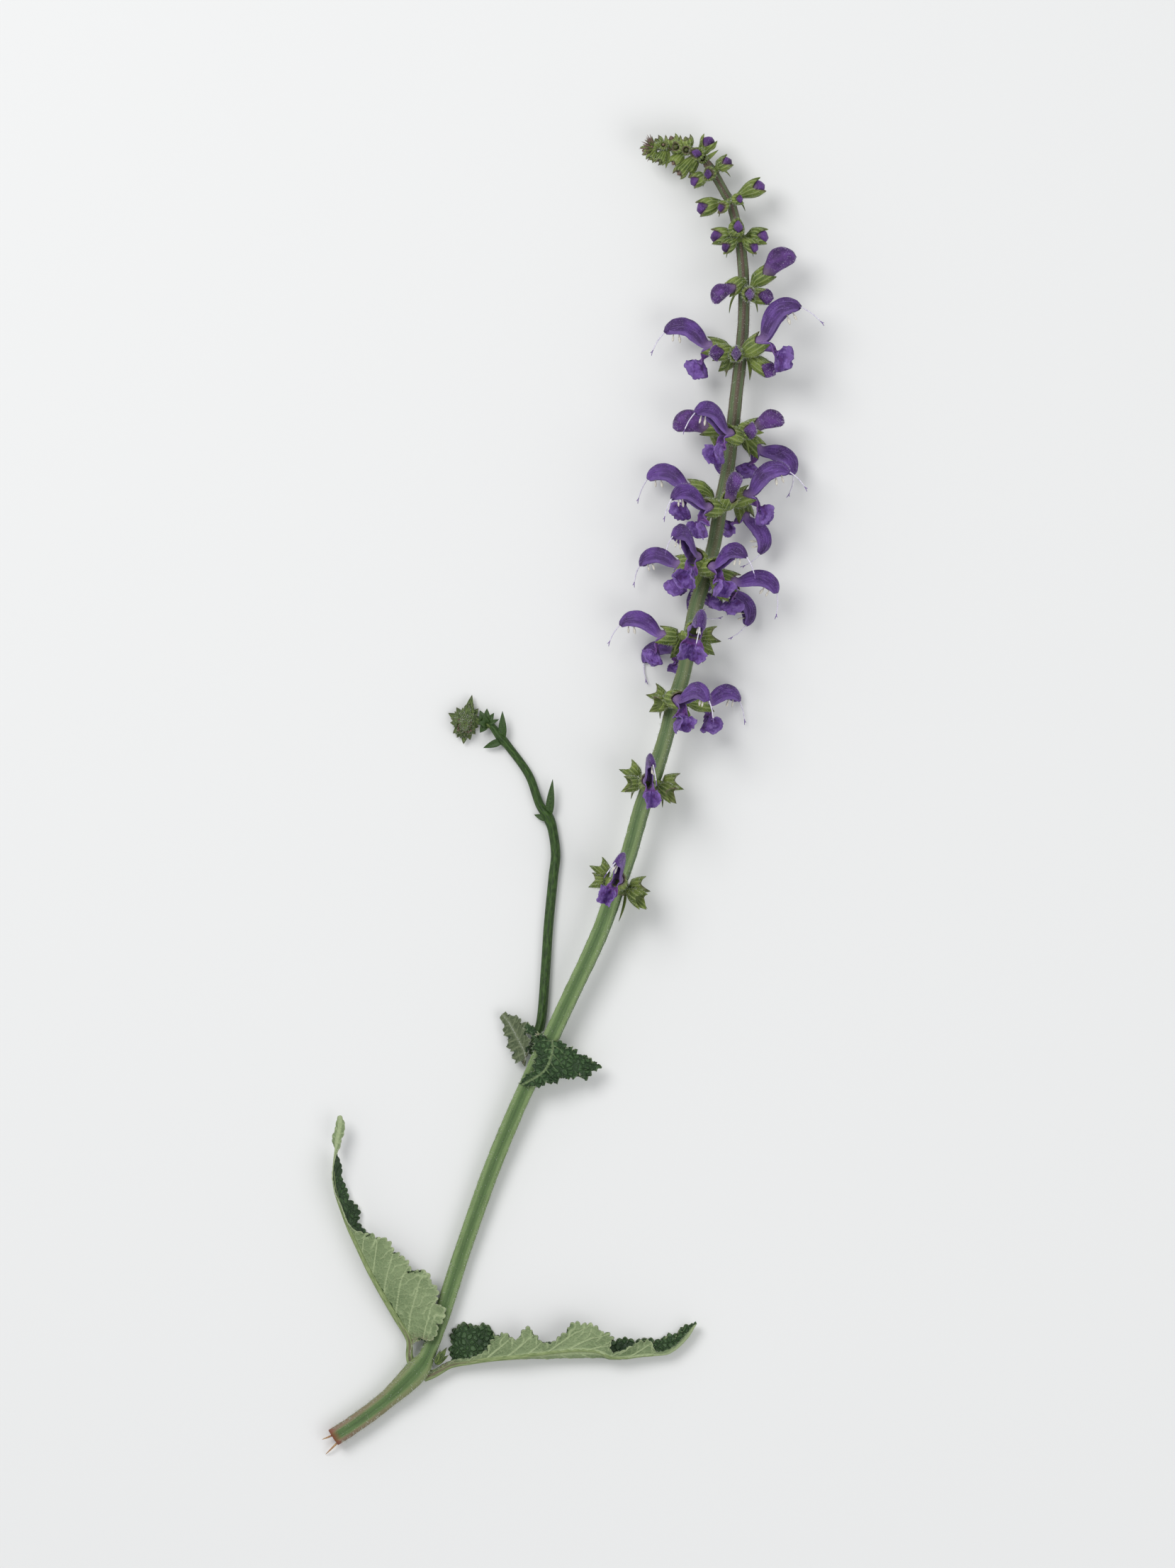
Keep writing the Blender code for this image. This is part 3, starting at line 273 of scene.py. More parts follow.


# The square stem: pale ridges, darker hollow sides with painted shade along their grooves, brown-purple
# towards the tip and at the torn foot
def stemLook():
    look = Look("stemSkin", 0.35)
    grain, streaks, corner = look.cloud(0.35, 4), look.streaks(40, 60), (look.across - 0.125).wave(4)
    low = look.ground(corner.between(0.25, 0.95), (84, 110, 62), (122, 144, 92))
    high = look.ground(corner.between(0.2, 0.9), (104, 116, 84), (92, 74, 66))
    look.color = look.mix(look.along.between(0.45, 0.85), low, high)
    # Painted shade along the grooves: dark lines down the middle of each side and beside each ridge
    look.over((corner.between(0.1, 0) + corner.peak(0.42, 0.08)) * 0.45, 58, 82, 42)
    look.over(streaks.between(0.5, 0.68) * 0.4, 56, 76, 42)
    look.over(grain.between(0.6, 0.78) * 0.4, 164, 174, 134)
    look.over((1 - look.along.between(0, 0.1)) * corner.between(0.45, 0.9) * 0.85, 128, 92, 84)
    look.over(1 - look.along.between(0.0015, 0.006), 132, 74, 52)
    return look.paint(grain * 0.2 + 0.45, grain + streaks * 0.7, 0.14, 0.6)


# Leaves: the mark is how near a vein runs; paintedShade darkens all the colours for a leaf that lies in shade
def leafUnderLook(name, paintedShade=1.0):
    look = Look(name, 0.25, paintedShade=paintedShade)
    grain, net = look.cloud(0.5, 4), look.cells(1.5, "DISTANCE_TO_EDGE").between(0.16, 0.02)
    look.ground(look.cloud(9).between(0.3, 0.7), (102, 120, 82), (132, 148, 108))
    look.over(net * 0.4, 146, 162, 118)
    look.over(look.mark.between(0.15, 0.75) * 0.85, 168, 182, 138)
    look.over(grain.between(0.35, 0.2) * 0.5, 70, 92, 56)
    look.over(look.edges(0.03) * 0.6, 176, 186, 146)
    look.over((1 - look.along.between(0.07, 0.12)) * grain.between(0.42, 0.6) * 0.8, 112, 86, 80)
    return look.paint(grain * 0.2 + 0.55, grain + net * 0.9, 0.2, 0.7)


def leafUpperLook():
    look = Look("leafUpper", 0.4)
    grain, net = look.cloud(0.45, 4), look.cells(1.7, "DISTANCE_TO_EDGE").between(0.2, 0.03)
    look.ground(look.cloud(8).between(0.3, 0.7), (34, 60, 28), (62, 92, 48))
    # Painted shade in the sunken net between the bulges; the bump lowers the same net
    look.over(net * 0.6, 22, 42, 20)
    look.over(look.cells(0.7).between(0.2, 0.08) * 0.35, 104, 124, 84)
    look.over(look.mark.between(0.8, 1) * 0.7, 128, 148, 100)
    look.over(look.edges(0.02) * 0.4, 132, 148, 108)
    return look.paint(grain * 0.2 + 0.4, grain * 0.5 - net * 1.4, 0.35, 0.8)


# Leaf stalks: pale green with a brown-purple groove on top, plainer along the midrib
def stalkLook():
    look = Look("leafStalk", 0.3)
    grain, streaks = look.cloud(0.4, 4), look.streaks(24, 24)
    look.ground(streaks.between(0.38, 0.62), (102, 120, 72), (146, 160, 110))
    look.over(look.across.peak(0.25, 0.1) * (1 - look.along.between(0.12, 0.3)) * 0.8, 92, 66, 66)
    look.over(grain.between(0.6, 0.76) * 0.4, 176, 184, 146)
    return look.paint(grain * 0.2 + 0.5, grain + streaks, 0.12, 0.6)


# The thin side shoot and its leaflets
def shootLook():
    look = Look("shootSkin", 0.4)
    grain, streaks = look.cloud(0.5), look.streaks(14, 40, 7)
    look.ground(streaks.between(0.4, 0.62), (30, 54, 12), (56, 86, 28))
    look.over(grain.between(0.6, 0.76) * 0.4, 112, 130, 84)
    return look.paint(grain * 0.2 + 0.38, grain + streaks, 0.1, 0.5)


def headLook():
    look = Look("headBract", 0.3)
    grain, streaks = look.cloud(0.4, 4), look.streaks(12, 3, 11, 2)
    look.ground(streaks.between(0.4, 0.62), (52, 68, 36), (104, 122, 62))
    look.over(look.along.between(0.75, 1) * 0.5, 86, 70, 72)
    look.over(grain.between(0.6, 0.76) * 0.4, 150, 158, 116)
    return look.paint(grain * 0.2 + 0.5, grain + streaks, 0.14, 0.6)


def plainLook(name, dark, light, roughness):
    look = Look(name)
    grain = look.cloud(0.4)
    look.ground(grain.between(0.35, 0.65), dark, light)
    return look.paint(grain * 0.1 + roughness, grain, 0.05, 0.4)


looks = {
    "petal": petalLook(),
    "bud": budLook(),
    "calyx": calyxLook(),
    "stem": stemLook(),
    "under": leafUnderLook("leafUnder"),
    # Painted shade: the back leaf gets the underside's colours darkened to 0.68, for the shade it lies in
    "back": leafUnderLook("leafUnderPaintedShade", 0.68),
    "upper": leafUpperLook(),
    "shoot": shootLook(),
    "head": headLook(),
    "style": plainLook("styleSkin", (186, 178, 202), (232, 228, 238), 0.45),
    "styleTip": plainLook("styleTip", (92, 62, 132), (134, 106, 170), 0.45),
    "anther": plainLook("anther", (190, 184, 176), (226, 222, 206), 0.6),
    "pith": plainLook("pith", (152, 104, 74), (196, 172, 128), 0.7),
    "stalk": stalkLook(),
    "tipBract": plainLook("tipBract", (84, 62, 64), (132, 112, 92), 0.55),
    "hair": plainLook("hair", (176, 184, 168), (214, 218, 206), 0.55),
    "petalHair": plainLook("petalHair", (178, 168, 196), (220, 214, 228), 0.55),
}
print("materials:", len(looks))


# A smooth curve through rows of any number of values, read at a share of its length
class Track:
    def __init__(self, rows):
        self.rows = [Vector(row) for row in rows]
        self.places = [0.0]
        for a, b in zip(self.rows, self.rows[1:]):
            self.places.append(self.places[-1] + (b - a).length)
        self.last = len(self.rows) - 1
        self.slopes = []
        for i in range(self.last + 1):
            before, after = max(i - 1, 0), min(i + 1, self.last)
            rise, run = self.rows[after] - self.rows[before], self.places[after] - self.places[before]
            self.slopes.append(rise / run)

    def at(self, share):
        place = min(max(share, 0.0), 1.0) * self.places[-1]
        i = min(max(bisect_right(self.places, place) - 1, 0), self.last - 1)
        span = self.places[i + 1] - self.places[i]
        t = (place - self.places[i]) / span
        return (
            self.rows[i] * (2 * t**3 - 3 * t**2 + 1)
            + self.slopes[i] * (span * (t**3 - 2 * t**2 + t))
            + self.rows[i + 1] * (3 * t**2 - 2 * t**3)
            + self.slopes[i + 1] * (span * (t**3 - t**2))
        )

    def way(self, share, reach=0.004):
        return (self.at(share + reach).xyz - self.at(share - reach).xyz).normalized()

    def shareOf(self, number):
        return self.places[number] / self.places[-1]


def lerp(low, high, share):
    return low + (high - low) * share


def ripple(*spot):
    return noise.noise(Vector(spot))


def sideAndUp(along, hint):
    side = along.cross(hint).normalized()
    return side, side.cross(along).normalized()


# What is left of a vector square to a way
def squareTo(way, vector):
    return vector - way * vector.dot(way)


# A point on a ring, which can be an oval
def ringPoint(centre, side, up, angle, wide, high=None):
    return centre + side * (wide * cos(angle)) + up * ((wide if high is None else high) * sin(angle))


def startMesh():
    bm = bmesh.new()
    bm.loops.layers.float_vector.new("place")
    return bm


# A grid bent into a surface by bend(across, along), with both shares and a mark kept at its corners
def skin(bm, columns, rows, bend, mark=0.0, slot=0, closed=True):
    layer = bm.loops.layers.float_vector["place"]
    made = bmesh.ops.create_grid(bm, x_segments=columns, y_segments=rows, size=1.0)["verts"]
    spots = {vert: ((vert.co.x + 1) / 2, (vert.co.y + 1) / 2) for vert in made}
    faces = list(dict.fromkeys(face for vert in made for face in vert.link_faces))
    marks = {vert: mark(*spot) if callable(mark) else mark for vert, spot in spots.items()}
    for face in faces:
        face.smooth = True
        face.material_index = slot
        for loop in face.loops:
            loop[layer] = (*spots[loop.vert], marks[loop.vert])
    for vert, spot in spots.items():
        vert.co = bend(*spot)
    if closed:
        bmesh.ops.remove_doubles(bm, verts=made, dist=mergeGap)
        bmesh.ops.recalc_face_normals(bm, faces=[face for face in faces if face.is_valid])


# A tube along a track, closed at both ends, with radiusAt(row, angle, share)
def tube(bm, track, columns, rows, radiusAt, step=0.01, slot=0, floor=0.0):
    def bend(u, v):
        row, way, angle = track.at(v), track.way(v, step), 2 * pi * u
        side, up = sideAndUp(way, upwards if abs(way.z) < 0.9 else northwards)
        place = ringPoint(row.xyz, side, up, angle, radiusAt(row, angle, v) if 0 < v < 1 else 0.0)
        place.z = max(place.z, floor)
        return place

    skin(bm, columns, rows, bend, slot=slot)


# A round tube along points that thins evenly
def strand(bm, points, radii, slot=0, columns=8, rows=16):
    tube(bm, Track(points), columns, rows, lambda row, angle, v: lerp(*radii, v), 0.02, slot)


# A finished piece in the frame
def finishPiece(name, bm, materials, slot, *replaced):
    for vert in bm.verts:
        vert.co.z = max(vert.co.z, lowest)
    bm.transform(toFrame)
    piece = addMesh(name, bm)
    for material in materials:
        piece.data.materials.append(looks[material])
    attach(piece, "root")
    if replaced:
        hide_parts(*replaced)
    return piece


# A sheet gets a thickness; its other face can have the next material
def addWall(piece, thickness, offset, otherFace=0):
    wall = piece.modifiers.new("Wall", "SOLIDIFY")
    wall.thickness, wall.offset, wall.material_offset = thickness * millimetre, offset, otherFace


# One fine hair: a three-sided spike
def addHair(bm, root, way, length, width):
    side = way.orthogonal().normalized() * (width / 2)
    turn = way.cross(side)
    foot = [bm.verts.new(root + side * cos(a) + turn * sin(a)) for a in (0, 2 * pi / 3, 4 * pi / 3)]
    tip = bm.verts.new(root + way * length)
    bm.faces.new(foot[::-1])
    for k in range(3):
        bm.faces.new((foot[k], foot[(k + 1) % 3], tip))


def strayWay(dice, reach):
    return Vector([dice.uniform(-reach, reach) for axis in range(3)])


hairForm = {"lean": 0.5, "stray": 0.35, "lengths": (0.55, 1.15), "sunk": 0.05, "lowestTip": 0.05}


# A coat of hairs on a bent surface: across from, to, along from, to, how many, length, width.
# inside(share) is the surface's middle.
def scatterHairs(bm, bend, coat, dice, inside=None, lean=hairForm["lean"], share=1):
    *zone, count, length, width = coat
    for i in range(count // share):
        u, v = dice.uniform(*zone[:2]), dice.uniform(*zone[2:])
        root = bend(u, v)
        along = (bend(u, min(v + 0.01, 1.0)) - bend(u, max(v - 0.01, 0.0))).normalized()
        outward = (bend(u + 0.01, v) - bend(u - 0.01, v)).cross(along)
        if outward.length < 1e-6:
            continue
        outward.normalize()
        if outward.dot(root - (inside(v) if inside else (bend(0.0, v) + bend(0.5, v)) / 2)) < 0:
            outward.negate()
        way = (outward + along * lean + strayWay(dice, hairForm["stray"])).normalized()
        if (root + way * length).z < hairForm["lowestTip"]:
            continue
        addHair(bm, root - way * hairForm["sunk"], way, length * dice.uniform(*hairForm["lengths"]), width)


# Main stem

stem = {
    # joint, across, along, height, width, turn of the square section
    "rows": [
        (0, -74.8, -199.3, 2.75, 5.8, 0), (0, -67.5, -194.5, 2.75, 5.8, 0), (0, -57.9, -187.2, 2.85, 6, 0),
        (1, -48.8, -178.4, 3.5, 7.6, 0), (0, -45.5, -173.5, 2.6, 5.2, 0), (0, -40.7, -160.2, 2.6, 5.4, 0),
        (0, -35, -142.6, 2.55, 5.3, 0), (0, -26.4, -118.1, 3.2, 5.4, 0), (0, -19.4, -100.8, 4.3, 5.4, 0),
        (0, -14, -88.9, 5.4, 5.4, 2), (2, -10.3, -81.6, 6.2, 6.2, 4), (0, -7.7, -76.1, 6.8, 5.4, 5),
        (0, -1.8, -63.6, 7.8, 5.2, 6), (0, 7.8, -43.1, 9.4, 5.2, 10), (3, 13.2, -28.2, 10.6, 5.2, 14),
        (0, 17.2, -17.4, 11.3, 4.8, 16), (0, 21, -4, 12, 4.8, 18), (4, 23.8, 3.7, 12.4, 4.8, 20),
        (0, 28.4, 18, 12.8, 4.4, 22), (5, 31.2, 29, 13, 4.3, 24), (0, 34.1, 38.7, 13.2, 4, 26),
        (6, 35.9, 49.1, 13.3, 4, 28), (0, 37.8, 58.7, 13.4, 3.9, 30), (7, 40.9, 68.9, 13.5, 3.9, 32),
        (0, 43.5, 78.5, 13.5, 3.7, 34), (8, 45.5, 90.2, 13.5, 3.7, 36), (0, 47.5, 100.5, 13.5, 3.5, 38),
        (9, 49.1, 113.1, 13.5, 3.5, 40), (0, 50.2, 123.6, 13.5, 3.4, 42), (10, 51.7, 136.6, 13.5, 3.3, 43),
        (0, 52.4, 145.6, 13.3, 3.1, 44), (11, 52.6, 156.2, 13, 3, 45), (0, 52.2, 164.3, 12.7, 2.9, 45),
        (12, 51.3, 172, 12.4, 2.8, 45), (0, 49.3, 180.6, 12, 2.6, 45), (13, 48.4, 183.7, 11.8, 2.6, 45),
        (0, 46.9, 186.1, 11.6, 2.5, 45), (14, 43.1, 192.9, 11.2, 2.4, 45), (0, 40.7, 196.2, 11, 2.3, 45),
    ],
    "around": 36,
    "rings": 520,
    "side": 0.92,  # how far the sides reach, the corners beyond them, and the edges of the corners
    "ridge": 0.22,
    "edge": 0.05,
    "uneven": 0.05,
    "unevenness": 0.55,  # how often that changes
    "tornRings": 3,
    "torn": (0.8, 0.7),  # how far the torn end reaches, and how ragged it is
    # root, tip, radius
    "fibres": [
        ((-72.6, -200, 1.6), (-77.2, -204.6, 0.5), 0.4), ((-74.8, -198.4, 3), (-78.2, -199.8, 2.2), 0.35),
    ],
    "fibreBow": 0.9,
    "hairs": 5200,
    "hairLength": 0.9,
    "hairWidth": 0.1,
    "hairDroop": 0.25,
    "onCorners": 0.7,  # the share of the hairs that stand on the corners
    # what makes the hairs of the foot longer, and where the foot ends
    "footHairs": 1.35,
    "footShare": 0.12,
}
stemTrack = Track([row[1:] for row in stem["rows"]])
joints = {row[0]: number for number, row in enumerate(stem["rows"]) if row[0]}


# A joint of the stem: its middle, half of its width, its share of the length, the stem's way there
def jointAt(joint):
    row, share = stemTrack.rows[joints[joint]], stemTrack.shareOf(joints[joint])
    return row.xyz, row[3] / 2, share, stemTrack.way(share, 0.015)


def stemPoint(share, angle, grow=0.0, shift=0.0):
    row, way = stemTrack.at(share), stemTrack.way(share)
    side, up = sideAndUp(way, upwards)
    corner = 0.5 + 0.5 * cos(4 * (angle - pi / 4))
    reach = stem["side"] + stem["ridge"] * corner + stem["edge"] * corner**8
    place = ringPoint(row.xyz + way * shift, side, up, angle + radians(row[4]), row[3] / 2 * reach + grow)
    place.z = max(place.z, 0.0)
    return place


def stemBend(u, v):
    ends, torn = min(v, 1 - v) * stem["rings"], stem["tornRings"]  # rings from the nearer end
    centre, place = stemTrack.at(v).xyz, stemPoint(v, 2 * pi * u)
    place += (place - centre) * (stem["uneven"] * noise.noise(place * stem["unevenness"]))
    if v < 0.5 and ends < torn:
        reach, ragged = stem["torn"]
        reach += ragged * ripple(cos(2 * pi * u) * 2.2, sin(2 * pi * u) * 2.2, 3.0)
        place += stemTrack.way(v) * (-reach * (1 - ends / torn))
    if ends < 0.9:
        place = centre
    place.z = max(place.z, 0.0)
    return place


def buildStem():
    bm = startMesh()
    skin(bm, stem["around"], stem["rings"], stemBend)
    for root, tip, radius in stem["fibres"]:
        root, tip = Vector(root), Vector(tip)
        side, up = sideAndUp((tip - root).normalized(), upwards)

        def fibre(u, v):
            middle = root.lerp(tip, v) + up * (stem["fibreBow"] * sin(pi * v))
            return ringPoint(middle, side, up, 2 * pi * u, radius * min(1.0, 8 * v) * (1 - v) ** 0.5)

        skin(bm, 8, 14, fibre, slot=1)
    finishPiece("stemDressed", bm, ["stem", "pith"], "stem", "stem")

    bm = startMesh()
    dice = Random(7)
    for i in range(stem["hairs"]):
        share = dice.random() ** 1.25 * 0.985 + 0.004
        corner = radians(45 + 90 * dice.randrange(4)) + dice.gauss(0, 0.16)
        angle = corner if dice.random() < stem["onCorners"] else dice.uniform(0, 2 * pi)
        root = stemPoint(share, angle)
        outward = (root - stemTrack.at(share).xyz).normalized()
        way = (outward - stemTrack.way(share) * stem["hairDroop"] + strayWay(dice, 0.4)).normalized()
        length = stem["hairLength"] * dice.uniform(0.5, 1.3)
        if share < stem["footShare"]:
            length *= stem["footHairs"]
        if root.z + way.z * length > hairForm["lowestTip"]:
            addHair(bm, root - way * hairForm["sunk"], way, length, stem["hairWidth"])
    finishPiece("stemHairs", bm, ["hair"], "stem")


buildStem()
print("stem")


# Flowers

# Open flowers: side, mouth of the calyx from the joint, pitch, turn to the front, size, roll, slimness
openFlowers = {
    "10_left": (-1, (-8.2, 2, -1), -20, -8, 0.92), "10_right": (1, (4.8, 2.6, 5.8), 3, 12, 1.02),
    "09_left": (-1, (-0.5, -2, 8.6), -12, 38, 0.9), "09_right": (1, (6.6, -4.8, -3.5), -73, -12, 0.87),
    "09_back": (-1, (-4.2, -1.6, -6.8), -148, 20, 0.72),
    "08_left_back": (-1, (-8.2, 4.6, -2.5), -25, -17, 0.88),
    "08_left_front": (-1, (-3.3, -1.6, 7.8), -26, 34, 0.84), "08_right_front": (1, (7, 2, 3.6), -9, 10, 0.92),
    "08_right_low": (1, (7, -2.2, -5.3), -106, -4, 0.8),
    "07_left_front": (-1, (-2.8, 4.2, 7.8), -14, 60, 0.94),
    "07_left_back": (-1, (-6.8, 2.8, -2.8), -39, -20, 0.82),
    "07_right_front": (1, (1.4, 1.4, 9), -25, 42, 0.84), "07_right": (1, (7.2, -2.4, 1.5), -52, 0, 0.86),
    "07_right_back": (1, (7.2, -3.6, -5), -103, -20, 0.78), "07_back": (-1, (-3.6, -2, -6.6), -142, 26, 0.7),
    "06_left": (-1, (-7, 0.2, 0), -24, -4, 0.85), "06_front": (1, (1.4, 2, 8.4), -35, 85, 0.88, -12, 1.35),
    "06_back": (-1, (-3.8, -3, -6.95), -60, -28, 0.72), "05_front": (1, (0.4, 0.6, 8.8), -39, 49, 0.86),
    "05_right": (1, (8.4, -0.4, -2.6), -34, -35, 0.81),
    "04_front": (1, (-1.2, 0.4, 8.4), -15, 80, 0.8, 5, 0.85),
    "03_front": (-1, (0.6, 1.8, 8.4), -12, 75, 0.82, -24, 0.85),
}
# Closed flowers: the form of the bud, then the same
closedFlowers = {
    "11_right": ("full", 1, (6, 4.4, 1.5), 2, 4, 1),
    "11_left": ("full", -1, (-3, 1.2, 5.2), -68, 22, 0.74, 0, 1.3),
    "11_front": ("young", 1, (1.4, -1.4, 7.2), -40, 80, 0.7),
    "11_right_low": ("young", 1, (5, -2, 4.2), -40, 35, 0.9),
    "10_left_front": ("young", -1, (-6, 0.2, 4.6), -40, 40, 0.9),
    "10_front": ("young", 1, (-1.6, -0.4, 8.2), -30, 90, 0.85),
    "10_right_low": ("young", 1, (6.2, -3.8, 2.4), -65, 10, 0.95),
    "09_left": ("full", -1, (-6.8, 0.6, -0.5), -28, -6, 1),
    "09_right": ("full", 1, (6.2, 0.7, 1.4), -20, 4, 0.84),
    "09_front": ("young", 1, (4.6, -0.4, 7.2), -40, 62, 0.95),
    "08_front": ("full", 1, (2.4, 1, 8.2), 10, 66, 0.88),
}
# Calyces that hold no separate flower: joint, side, mouth, pitch, turn, size
spareCalyces = [
    (3, -1, (-4.8, 6, -1.4), 15, -10, 0.78), (3, -1, (-5.8, 1.8, -2.6), -30, -20, 0.74),
    (3, 1, (7.2, 0.4, 1), -25, 5, 0.85), (3, 1, (6.8, -3.6, 4.6), -60, 35, 0.9),
    (4, -1, (-6, 4.2, -2), 10, -15, 0.82), (4, -1, (-6.2, -0.2, 2.6), -35, 20, 0.82),
    (4, 1, (6.8, 0.4, -1.4), -30, -10, 0.9), (4, 1, (5.6, -2.8, 4), -60, 30, 0.88),
    (5, -1, (-5.4, 2.6, -1.8), 0, -12, 0.76), (5, -1, (-4.8, -0.8, 4.6), -35, 40, 0.82),
    (6, 1, (6.4, 0.4, 0.6), -25, 5, 0.86), (6, 1, (5, -2.6, -4.4), -50, -30, 0.86),
    (7, 1, (5, -5.6, 5.2), -65, 35, 0.84), (10, -1, (-4.4, -2.4, -5.2), -50, -35, 0.82),
]
# Young ones with their bud tips
youngCalyces = [
    (12, -1, (-6, 1, 0.2), -36, 0, 0.98), (12, 1, (5.8, 1, 0.2), -36, 0, 0.98),
    (12, 1, (-0.8, 3.4, 5.2), -20, 80, 1), (12, -1, (-3.8, -2.2, 4.2), -60, 35, 0.75),
    (12, 1, (3.8, -2.2, 4.2), -60, 35, 0.75), (12, 1, (0.4, -0.8, -5.4), -40, -80, 0.75),
    (13, -1, (-7.4, -1.6, 0.2), -50, 0, 1), (13, 1, (7.6, 4.2, 0.2), -8, 0, 1),
    (13, 1, (2.4, 0.6, 4.8), -30, 60, 0.65), (13, -1, (-2.6, -1.8, 4.8), -50, 55, 0.65),
    (13, 1, (0.2, 0, -5.2), -30, -80, 0.7), (14, -1, (-1.4, -0.8, 5), -35, 75, 0.8),
    (14, -1, (-4.8, -2.4, 0.8), -60, 5, 0.8), (14, 1, (3.4, 2.6, 0.4), 0, 0, 0.8),
    (14, 1, (0.4, 0.2, -5), -30, -80, 0.65),
]
calyxTilt = radians(30)  # between the calyx and the way out in the flower's side view


# One flower's place: the mouth of its calyx and the directions of its side view
class Flower:
    def __init__(self, mouth, out, up, size=1.0, slim=1.0, joint=None):
        self.mouth, self.out, self.up, self.wide = mouth, out, up, up.cross(out)
        self.size, self.slim, self.joint = size, slim, joint
        self.axis = out * cos(calyxTilt) + up * sin(calyxTilt)
        self.axisUp = up * cos(calyxTilt) - out * sin(calyxTilt)

    # A point of the side view, and how far across it lies
    def at(self, out, up, wide=0.0):
        return self.mouth + (self.out * out + self.up * up + self.wide * (wide * self.slim)) * self.size


def flowerOn(joint, side, mouth, pitch, turn, size=1.0, roll=0, slim=1.0):
    ahead = Vector((side * cos(radians(turn)), 0, sin(radians(turn))))
    tilt = radians(pitch)
    spin = Matrix.Rotation(radians(roll), 3, ahead)
    out = spin @ (ahead * cos(tilt) + northwards * sin(tilt))
    up = spin @ (northwards * cos(tilt) - ahead * sin(tilt))
    return Flower(jointAt(joint)[0] + Vector(mouth), out, up, size, slim, joint)


# A young flower of the spike's tip, given by its calyx alone
def tipFlower(root, tip, size):
    axis = (tip - root).normalized()
    axisUp = axis.cross(squareTo(axis, upwards if abs(axis.z) < 0.8 else Vector((0.3, 1, 0))).normalized())
    if axisUp.x > 0:
        axisUp = -axisUp
    out = axis * cos(calyxTilt) - axisUp * sin(calyxTilt)
    up = axis * sin(calyxTilt) + axisUp * cos(calyxTilt)
    return Flower(tip - axis * (calyxForm["tipReach"] * size), out, up, size)


# Each name starts with the joint's number
openOnes = {name: flowerOn(int(name[:2]), *row) for name, row in openFlowers.items()}
closedOnes = {name: (flowerOn(int(name[:2]), *row[1:]), row[0]) for name, row in closedFlowers.items()}

# Corolla in side view from the middle of the calyx's mouth: outward and up
corolla = {
    "wall": 0.3,
    "across": 24,
    "along": 40,
    "split": 0.27,  # the share of the length where hood and lip part
    # middle line and edge line, half of the width, roundness
    "hood": [
        (-0.85, 0.23, -1.47, -0.85, 1.25, 1), (-0.3, 2.1, 0.6, 0.35, 1.95, 1), (1.3, 2.9, 3.3, 0.8, 1.75, 1),
        (1.6, 5, 4.6, 2, 1.7, 1), (1.9, 7, 5.4, 3.1, 1.55, 1), (3, 9.8, 6.7, 5, 1.55, 1),
        (5.6, 12.5, 8.3, 7.1, 1.65, 1), (8.4, 13.6, 10, 8.3, 1.65, 1), (11, 13.5, 11.5, 9, 1.5, 1),
        (13.2, 12.3, 12.9, 9.4, 1.25, 1), (14.3, 10.9, 13.6, 9.8, 0.8, 1),
    ],
    "lip": [
        (-2.09, -1.93, -1.47, -0.85, 1.25, 1), (1.3, -1.95, 0.6, 0.35, 1.95, 1), (3, -2.1, 3.3, 0.8, 1.75, 1),
        (4.6, -2.4, 4.9, -0.3, 1.8, 0.7), (5.2, -2.1, 5.6, -3.1, 3, 0), (5.6, -2.3, 5.9, -4.4, 3.2, 0),
        (5.7, -2.8, 7.4, -2, 2.3, 0), (5.6, -3.9, 9.8, -1.2, 3, 0), (5.5, -5.4, 10.8, -2.6, 3.5, 0),
        (5.5, -7.1, 10.6, -5.2, 3.4, 0), (5.9, -8.7, 9.6, -7.8, 2.6, 0),
    ],
    "crinkle": 0.42,
    "pleat": 0.42,
    "hairs": (0.12, 0.88, 0.4, 0.97, 260, 0.6, 0.07),
    "hairLean": 0.35,
}
style = {
    "path": [(9.6, 12.2), (12.2, 11.6), (14.2, 10.7), (17.4, 8.9), (20.2, 6.4)],
    "radius": (0.22, 0.16),
    "freeFrom": 13,  # beyond this far out each one droops and drifts by its own
    "droop": 0.12,
    "drift": 0.06,
    "fork": 1.5,
    "forkRadius": (0.15, 0.09),
    # root and tip of each filament, half of the anther's width
    "anthers": [((9.4, 9.8), (10.2, 6.6), 0.5), ((11.2, 9.8), (12.2, 7.6), 0.42)],
    "filament": (0.22, 0.18),
    "sway": 0.5,
}


def petalBend(flower, half, seed):
    track, lip = Track(corolla[half]), half == "lip"
    offset = Vector((seed * 3.1, seed * 1.7, seed * 0.9))
    swell, taper, coarse, finest = (0.45, 1.1, 0.85, 0.85) if lip else (0.4, 0.25, 0.5, 0.3)

    def bend(u, v):
        spot, s = track.at(v), 2 * u - 1
        rise = lerp(s * s, 1 - cos(s * pi / 2), spot[5])
        wide = lerp(s, sin(s * pi / 2), spot[5])
        place = flower.at(lerp(spot[0], spot[2], rise), lerp(spot[1], spot[3], rise), spot[4] * wide)
        free = min(max((v - corolla["split"]) * 4, 0.0), 1.0)
        if free:
            strength = corolla["crinkle"] * free * (swell + taper * (s * s if lip else abs(s)))
            fine = noise.noise_vector(place * coarse + offset)
            place += (fine + noise.noise_vector(place * 1.9 + offset) * finest) * (strength * flower.size)
            if lip:
                pleat = corolla["pleat"] * free * flower.size
                place += flower.out * (pleat * sin(8 * s + 5 * v + seed))
                place += flower.wide * (pleat * s * sin(22 * v + 2 * s + seed))
        place.z = max(place.z, corolla["wall"])
        return place

    return bend


def flowerSeed(name):
    return sum(ord(letter) * (k + 3) for k, letter in enumerate(name)) % 97


